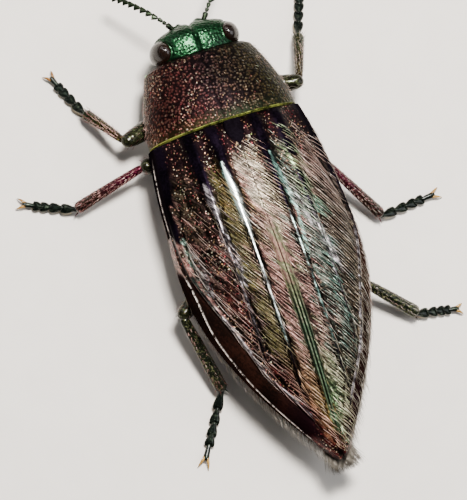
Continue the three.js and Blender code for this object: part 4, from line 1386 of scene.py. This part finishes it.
def wing_finish():
    """Pitted, combed metal between polished ribs, with a matt chestnut band along the side, painted
    highlights and glints, and painted shade in the grooves and pits.
    """
    f = Finish("ribbed wing metal", Specular_IOR_Level=0.0)
    tint, sheen = f.metals()
    wear = f.wear()
    x, y, pit = f.parts(f.layer("place"))
    ridge, side_band, seam = f.parts(f.layer("marks"))
    pale, edge, metal = f.parts(f.layer("lights"))
    painted_glint = f.group("painted_pit_glints", Vector=f.plain, Pit=pit)
    rib = f.most(ridge, 0.0)
    groove = f.most(f.times(ridge, -1.0), 0.0)
    # combed ground, with a painted sheen in the metal lights, and painted shade that darkens the grooves and
    # pits
    streak = f.between(f.noise(f.combed, 1.9, 3.0, 0.55), 0.44, 0.66)
    speck = f.between(f.noise(f.plain, 8.0, 3.0, 0.7), 0.36, 0.58, 0.45, 1.0)
    share = f.most(f.times(f.line(streak, 0.42, 0.04), sheen),
                   f.times(metal, f.line(streak, 0.85, 0.08), speck))
    # painted shade: darker in the grooves beside the ribs, then darker in the pits
    colour = f.mix(f.times(share, f.rest(groove)), "080605", tint)
    colour = f.mix(f.times(f.between(pit, 0.05, 0.6), 0.5), colour, "050303")
    colour = f.mix(f.between(y, 0.07, 0.15), "140b0d", colour)
    # painted glints in the pits: at the shoulder, down the left side and round the tail tip
    dotted = f.most(f.between(y, 0.1, 0.22, 0.85, 0.1), f.times(f.between(x, 0.44, 0.56), 0.75),
                    f.between(y, 0.88, 0.94))
    colour = f.mix(f.times(dotted, painted_glint["Amount"]), colour, painted_glint["Tint"])
    # the ribs: black and purple
    outside_lights = f.rest(metal)
    dark = f.mix(f.between(wear, 0.42, 0.6), "030204", "0c070f")
    colour = f.mix(f.times(rib, outside_lights), colour, dark)
    # the side band: near black, chestnut, wine; under the rim bead this dark band is painted shade
    band = f.mix(f.between(wear, 0.42, 0.62), "110a08", "26140f")
    band = f.mix(f.between(y, 0.3, 0.45), "0a0609", band)
    band = f.mix(f.between(y, 0.72, 0.9), band, "12060a")
    on_band = f.times(side_band, outside_lights)
    colour = f.mix(on_band, colour, band)
    # painted highlights: pale, ragged along the comb, whole where they are strongest, white and mint or lilac
    torn = f.times(f.between(f.noise(f.combed, 0.9, 2.0), 0.4, 0.56, 0.1, 1.0),
                   f.between(f.noise(f.combed, 3.0, 2.0), 0.38, 0.6, 0.1, 1.0))
    light = f.most(f.times(pale, torn), f.between(pale, 0.82, 1.0, 0.0, 0.9))
    dash = f.between(f.noise(f.plain, 4.2, 3.0, 0.8), 0.42, 0.52)
    broken = f.times(f.between(y, 0.3, 0.36, 0.0, 0.6), f.rest(dash))
    painted_highlight_tint = f.ramp(f.line(x, 0.5, 0.5), *PAINTED_HIGHLIGHT_TINTS)
    colour = f.mix(f.times(light, f.rest(broken)), colour, painted_highlight_tint)
    # painted highlight: the broken white line along the rim bead
    rim = f.times(edge, dash, f.between(x, -0.5, 0.5, 0.5, 1.0))
    colour = f.mix(rim, colour, "f6ebe2")
    # the seam, bare from a third of the length on: a bead on each side of the slit, and a line
    near_seam = f.math("SUBTRACT", seam, f.between(y, 0.5, 0.88, 0.0, 0.42))
    bare = f.times(f.between(near_seam, 0.28, 0.36), f.window(y, 0.26, 0.42, 0.86, 0.93))
    bead, groove_line = (f.between(f.off(seam, 1 - gap / SEAM_REACH), 0.05, 0.11, 1.0, 0.0)
                         for gap in (0.055, 0.22))
    lines = f.most(bead, f.times(groove_line, f.between(y, 0.6, 0.8, 1.0, 0.3)))
    green = f.mix(f.between(y, 0.42, 0.64), "5a6040", "3e5442")
    green = f.mix(f.between(y, 0.35, 0.8, 0.82, 0.92), tint, green)
    hollow = f.mix(f.between(y, 0.36, 0.56), f.mix(0.25, "181e14", tint), "0c120c")
    seam_metal = f.mix(f.times(lines, f.line(streak, 0.6, 0.4)), hollow, green)
    colour = f.mix(bare, colour, seam_metal)
    # polished ribs; the band, the rim line, the seam and the outer ribs aren't bare metal
    smooth = f.most(rib, f.times(side_band, 0.2))
    rough = f.times(f.line(wear, 0.3, 0.27), f.line(smooth, -0.3, 1.0))
    rough = f.math("ADD", rough, f.between(y, 0.08, 0.18, 0.12, 0.0))
    f.relief(f.times(f.line(streak, 0.6, f.grain()), f.line(smooth, -0.8, 1.0)), 0.5, 0.04)
    outer_rib = f.times(rib, f.between(f.off(x, 0.0), 0.84, 0.9), 0.9)
    shoulder_rib = f.times(rib, f.between(y, 0.1, 0.3, 0.6, 0.0))
    matt = f.most(on_band, f.times(rim, 0.6), f.times(bare, 0.65), shoulder_rib, outer_rib)
    return f.finish(colour, rough, f.math("SUBTRACT", 0.92, matt, clamp=True))


def coat_finish():
    """Silky hair, tinted by the metal it grows from and lighter or darker from hair to hair, and painted
    paler where the wing cases' painted highlights are.
    """
    f = Finish("combed pale hair", Metallic=0.6)
    tint, sheen = f.metals()
    x, y, tone = f.parts(f.layer("place"))
    pale, _, metal = f.parts(f.layer("lights"))
    bright = f.mix(0.14, tint, "efe2cf")
    bright = f.mix(f.between(tone, 0.7, 1.0, 0.0, 0.38), bright, "f6efe6")
    # painted highlights: hairs in the pale and metal lights are painted paler
    bright = f.mix(f.times(pale, 0.6), bright, "f6f2ee")
    bright = f.mix(f.times(metal, 0.4), bright, "fae0cc")
    bright = f.mix(f.between(y, 0.94, 0.97, 0.0, 0.6), bright, "8a3a30")
    # dull hairs: by chance, in dark patches, and over the field between the left ribs
    field = f.times(f.window(x, 0.32, 0.4, 0.56, 0.64), f.between(y, 0.7, 0.84, 1.0, 0.0),
                    f.between(y, 0.4, 0.6, 0.4, 0.75))
    shade = f.most(f.between(tone, 0.0, 0.65, 0.8, 0.0), f.line(sheen, -0.75, 0.75), field)
    # painted highlights: hairs there are less dull
    shade = f.times(shade, f.between(f.most(metal, pale), 0.1, 0.8, 1.0, 0.35))
    colour = f.mix(shade, bright, f.mix(0.55, tint, "0c0907"))
    return f.finish(colour, f.line(f.wear(), 0.2, 0.26))


def collar_finish():
    """Densely pitted copper red that turns green and gold towards the corners and border, with painted glints
    in the pits that are dimmed near the middle as painted shade.
    """
    f = Finish("pitted copper metal", Metallic=0.8, Specular_IOR_Level=0.05)
    x, y, _ = f.parts(f.layer("place"))
    pit, border, _ = f.parts(f.layer("marks"))
    wear = f.wear()
    painted_glint = f.group("painted_pit_glints", Vector=f.plain, Pit=pit)
    wander = f.line(wear, 0.4, -0.2)
    across = f.math("ADD", f.line(x, 0.5, 0.5), wander, clamp=True)
    colour = f.ramp(across, 0.0, "0c120a", 0.15, "12140c", 0.3, "0e0a07", 0.5, "090507", 0.62, "0f0708",
                    0.75, "130708", 0.88, "190a0a", 0.95, "180f0b", 1.0, "0e1c10")
    back = f.between(f.line(wander, 0.4, y), -0.22, -0.02)
    golden = f.mix(f.between(across, 0.45, 0.9), "1a2214", "382c16")
    colour = f.mix(f.times(back, 0.5), colour, golden)
    glow = f.ramp(across, 0.0, "2c3c20", 0.3, "4c4426", 0.5, "3c2a2a", 0.7, "5c302c", 0.9, "6e3a30",
                  1.0, "3c4c28")
    colour = f.mix(f.between(pit, 0.1, 0.6, 0.0, 0.3), colour, glow)
    # painted glints in the pits, dimmed to a fifth near across 0.4 as painted shade, and in random patches
    strength = f.times(painted_glint["Amount"], f.between(f.off(across, 0.4), 0.1, 0.4, 0.2, 1.0),
                       f.between(f.noise(f.plain, 0.8, 3.0), 0.4, 0.6, 0.25, 1.0))
    colour = f.mix(strength, colour, f.mix(0.25, painted_glint["Tint"], glow))
    edging = f.mix(f.between(f.noise(f.plain, 0.9, 4.0, 0.7), 0.4, 0.6), "262e12", "b4bc5a")
    f.relief(f.grain(), 0.3, 0.02)
    return f.finish(f.mix(border, colour, edging), f.line(wear, 0.3, 0.32))


def green_finish(name, code, other, pits_scale=0.0, margin=0.0):
    """Dark pitted metal for the head, flanks, belly and feelers, with painted shade: near black in the pits,
    and matt dark brown at a margin, the belly's sides under the rims.
    """
    f = Finish(name, Coat_Weight=0.1, Coat_Roughness=0.15, Specular_IOR_Level=0.2)
    wear = f.wear()
    colour = f.mix(f.between(wear, 0.38, 0.64), code, other)
    # painted shade: at a margin, the belly's sides under the rims, the colour turns matt dark brown
    outer = f.times(f.between(f.off(f.parts(f.layer("place"))[0], 0.0), 0.55, 0.85), margin)
    colour = f.mix(outer, colour, f.mix(wear, "120907", "2a1610"))
    # painted shade in the pits
    colour = f.mix(f.times(f.parts(f.layer("marks"))[0], 0.7), colour, "050605")
    if pits_scale:
        f.relief(f.group("punctures", Vector=f.plain, Scale=pits_scale)["Height"], 0.6, 0.03)
    else:
        f.relief(f.grain(15.0), 0.4, 0.02)
    return f.finish(colour, f.line(wear, 0.3, 0.16), f.line(outer, -0.9, 0.9))


def leg_finish(name, upper, lower, glint_fleck):
    """Pitted metal that changes from one colour to another down the limb, with painted glints as flecks, and
    painted shade in the pits.
    """
    f = Finish(name, Metallic=0.75, Coat_Weight=0.25, Coat_Roughness=0.1, Specular_IOR_Level=0.1)
    wear = f.wear()
    pit, along, _ = f.parts(f.layer("marks"))
    share = f.math("ADD", along, f.line(wear, 0.6, -0.3))
    colour = f.mix(f.between(share, 0.2, 0.8), upper, lower)
    # painted glints: bright flecks of metal colour
    glint_spots = f.between(f.noise(f.plain, 7.0, 3.0, 0.7), 0.5, 0.68)
    colour = f.mix(f.times(glint_spots, 0.7), colour, glint_fleck)
    # painted shade in the pits
    colour = f.mix(f.times(pit, 0.6), colour, "070504")
    f.relief(f.group("punctures", Vector=f.plain, Scale=7.5)["Height"], 0.75, 0.04)
    return f.finish(colour, f.line(wear, 0.32, 0.15))


def eye_finish():
    """Brown glassy eye with a fine net of facets."""
    f = Finish("faceted eye", Metallic=0.0, Coat_Weight=0.4, Coat_Roughness=0.06, Specular_IOR_Level=0.2)
    wear = f.wear()
    colour = f.mix(f.between(wear, 0.35, 0.65), "0d0704", "22120a")
    rim = f.between(f.cells(f.plain, 17.0)["Distance"], 0.3, 0.55)
    f.relief(f.rest(rim), 0.4, 0.012)
    return f.finish(f.mix(f.times(rim, 0.5), colour, "080403"), f.line(wear, 0.12, 0.14))


def horn_finish(name, code, other, rough=0.2, lacquer=0.25):
    """Polished horn: jaws, claws and the small shield."""
    f = Finish(name, Metallic=0.0, Coat_Weight=lacquer, Coat_Roughness=0.1, Specular_IOR_Level=lacquer)
    wear = f.wear()
    f.relief(f.grain(12.0, 3.0), 0.12, 0.02)
    return f.finish(f.mix(f.between(wear, 0.35, 0.65), code, other), f.line(wear, 0.2, rough))


def pad_finish():
    """Soft pale foot pads with a velvety grain."""
    f = Finish("pale foot pad", Metallic=0.0)
    grain = f.grain(22.0, 3.0)
    f.relief(grain, 0.6, 0.03)
    return f.finish(f.mix(f.between(grain, 0.3, 0.7), "b9a678", "ded2ac"), f.line(grain, 0.2, 0.55))


def floor_finish():
    """A pale colour with a barely visible grain."""
    f = Finish("pale floor", Metallic=0.0)
    return f.finish(f.mix(f.grain(0.6), "e2dcd4", "d9d2ca"), 0.7)


FINISHES = {
    "wing": wing_finish(),
    "coat": coat_finish(),
    "collar": collar_finish(),
    "head": green_finish("pitted green metal", "0f2a18", "1f4a2c"),
    "flank": green_finish("dark green flank metal", "10281a", "26381c"),
    "belly": green_finish("bronze belly metal", "2e2a12", "3f4a1e", 0.0, 1.0),
    "feeler": green_finish("dark feeler metal", "10140f", "222c1c", 9.0),
    "femur": leg_finish("thigh metal", "10180e", "1a1a0e", "5a6240"),
    "tarsus": leg_finish("foot metal", "0a100c", "120f0b", "343c30"),
    "eye": eye_finish(),
    "jaw": horn_finish("jaw horn", "0b0705", "1d100a", 0.3, 0.1),
    "fore": leg_finish("fore shin metal", "24180c", "12200f", "6a6238"),
    "mid": leg_finish("middle shin metal", "460c22", "20140b", "a4706e"),
    "hind": leg_finish("hind shin metal", "14180d", "20261a", "8a8c5e"),
    "claw": horn_finish("amber claw horn", "6a4318", "a8823a"),
    "shield": horn_finish("dark shield", "060406", "100c12", 0.45, 0.0),
    "pad": pad_finish(),
}

# ---- the pieces ----

for name, side in SIDES.items():
    wing_case(side).piece("wing_case_" + name, "wing", "wing_case", "elytron_" + name)
    wing_hair(side).piece("coat_" + name, "coat", "hair")
    eye(side).piece("eye_lens_" + name, "eye", "eye", "eye_" + name)
    mandible(side).piece("jaw_" + name, "jaw", "mouth", "mandible_" + name)
    antenna(name).piece("feeler_" + name, "feeler", "feeler", "antenna_" + name)

pronotum().piece("collar_shield", "collar", "pronotum", "pronotum")
prosternum().piece("collar_flanks", "flank", "belly", "prosternum")
scutellum().piece("small_shield", "shield", "shield", "scutellum")
head().piece("head_capsule", "head", "head", "head")
lip_and_palps().piece("lip_and_palps", "jaw", "mouth")
for name, shares in PLATES.items():
    body_plate(*shares).piece(name + "_plate", "belly", "belly", name)
for leg in LEGS:
    coxa(leg).piece("hip_" + leg, "femur", "leg", "coxa_" + leg)
    femur(leg).piece("thigh_" + leg, "femur", "leg", "femur_" + leg)
    tibia(leg).piece("shin_" + leg, leg.split("_")[1], "leg", "tibia_" + leg)
    tarsus(leg).piece("foot_" + leg, "tarsus", "foot", "tarsus_" + leg)
    foot_pads(leg).piece("pads_" + leg, "pad", "foot")
    claws(leg).piece("claws_" + leg, "claw", "foot")
for name, grow in {"fringe": fringe, "collar": collar_hair, "leg": leg_hair, "belly": belly_hair}.items():
    grow().piece(name + "_hair", "coat", "hair")

# ---- floor, light and camera ----

FLOOR_HALF = 0.6  # metres
VIEW = {
    "target": (1.651, 5.712, 3.0),
    "distance": 200.0,
    "lean_left": 12.0,  # degrees off the vertical towards the beetle's left
    "lean_tail": 8.0,  # degrees off the vertical towards its tail
    "turn": 19.64,  # degrees that the body is turned in the view
    "frame_width": 21.954,  # millimetres across the view at the target
}


def floor():
    """A plain pale floor, far larger than the view."""
    mesh = bpy.data.meshes.new("floor")
    corners = [(x * FLOOR_HALF, y * FLOOR_HALF, 0) for x, y in ((-1, -1), (1, -1), (1, 1), (-1, 1))]
    mesh.from_pydata(corners, [], [(0, 1, 2, 3)])
    mesh.materials.append(floor_finish())
    in_scene("floor", mesh)


def lamp(name, place, aim, size, power, colour):
    """A square soft light at a place in beetle millimetres, aimed at another."""
    data = bpy.data.lights.new(name, "AREA")
    data.shape = "SQUARE"
    data.size = size * MM
    data.energy = power
    data.color = colour
    made = in_scene(name, data)
    made.location = to_frame(place)
    way = Vector(to_frame(aim)) - made.location
    made.rotation_euler = way.to_track_quat("-Z", "Y").to_euler()


def camera():
    """The camera looks down on the back from a little left and behind."""
    lean_left, lean_tail, turn = (math.radians(VIEW[key]) for key in ("lean_left", "lean_tail", "turn"))
    back = unit(np.array([math.tan(lean_left), math.tan(lean_tail), 1]))
    tail = unit(BACKWARDS - (BACKWARDS @ back) * back)
    left = np.cross(tail, back)
    left = left * np.sign(left[0])
    right = math.sin(turn) * tail - math.cos(turn) * left
    up = -math.cos(turn) * tail - math.sin(turn) * left
    data = bpy.data.cameras.new("camera")
    data.sensor_fit = "HORIZONTAL"
    data.angle = 2 * math.atan(VIEW["frame_width"] / 2 / VIEW["distance"])
    data.clip_start = 0.01
    data.clip_end = 10
    place = to_frame(np.array(VIEW["target"]) + back * VIEW["distance"])
    turned = Matrix(np.stack([right, up, back], 1).tolist()).to_4x4()
    made = in_scene("camera", data)
    made.matrix_world = Matrix.Translation(Vector(place)) @ turned
    bpy.context.scene.camera = made


def world():
    """Even grey studio air."""
    made = bpy.data.worlds.new("studio")
    made.use_nodes = True
    air = made.node_tree.nodes["Background"].inputs
    air[0].default_value = (0.8, 0.85, 0.92, 1)
    air[1].default_value = 0.12
    bpy.context.scene.world = made


floor()
lamp("key", (-17, -34, 150), (0, 5, 3), 34, 0.75, (1, 0.97, 0.93))
lamp("fill", (-110, 50, 120), (0, 6, 3), 110, 0.16, (0.95, 0.97, 1))
lamp("low", (60, -130, 90), (0, 0, 3), 90, 0.08, (1, 0.98, 0.95))
camera()
world()
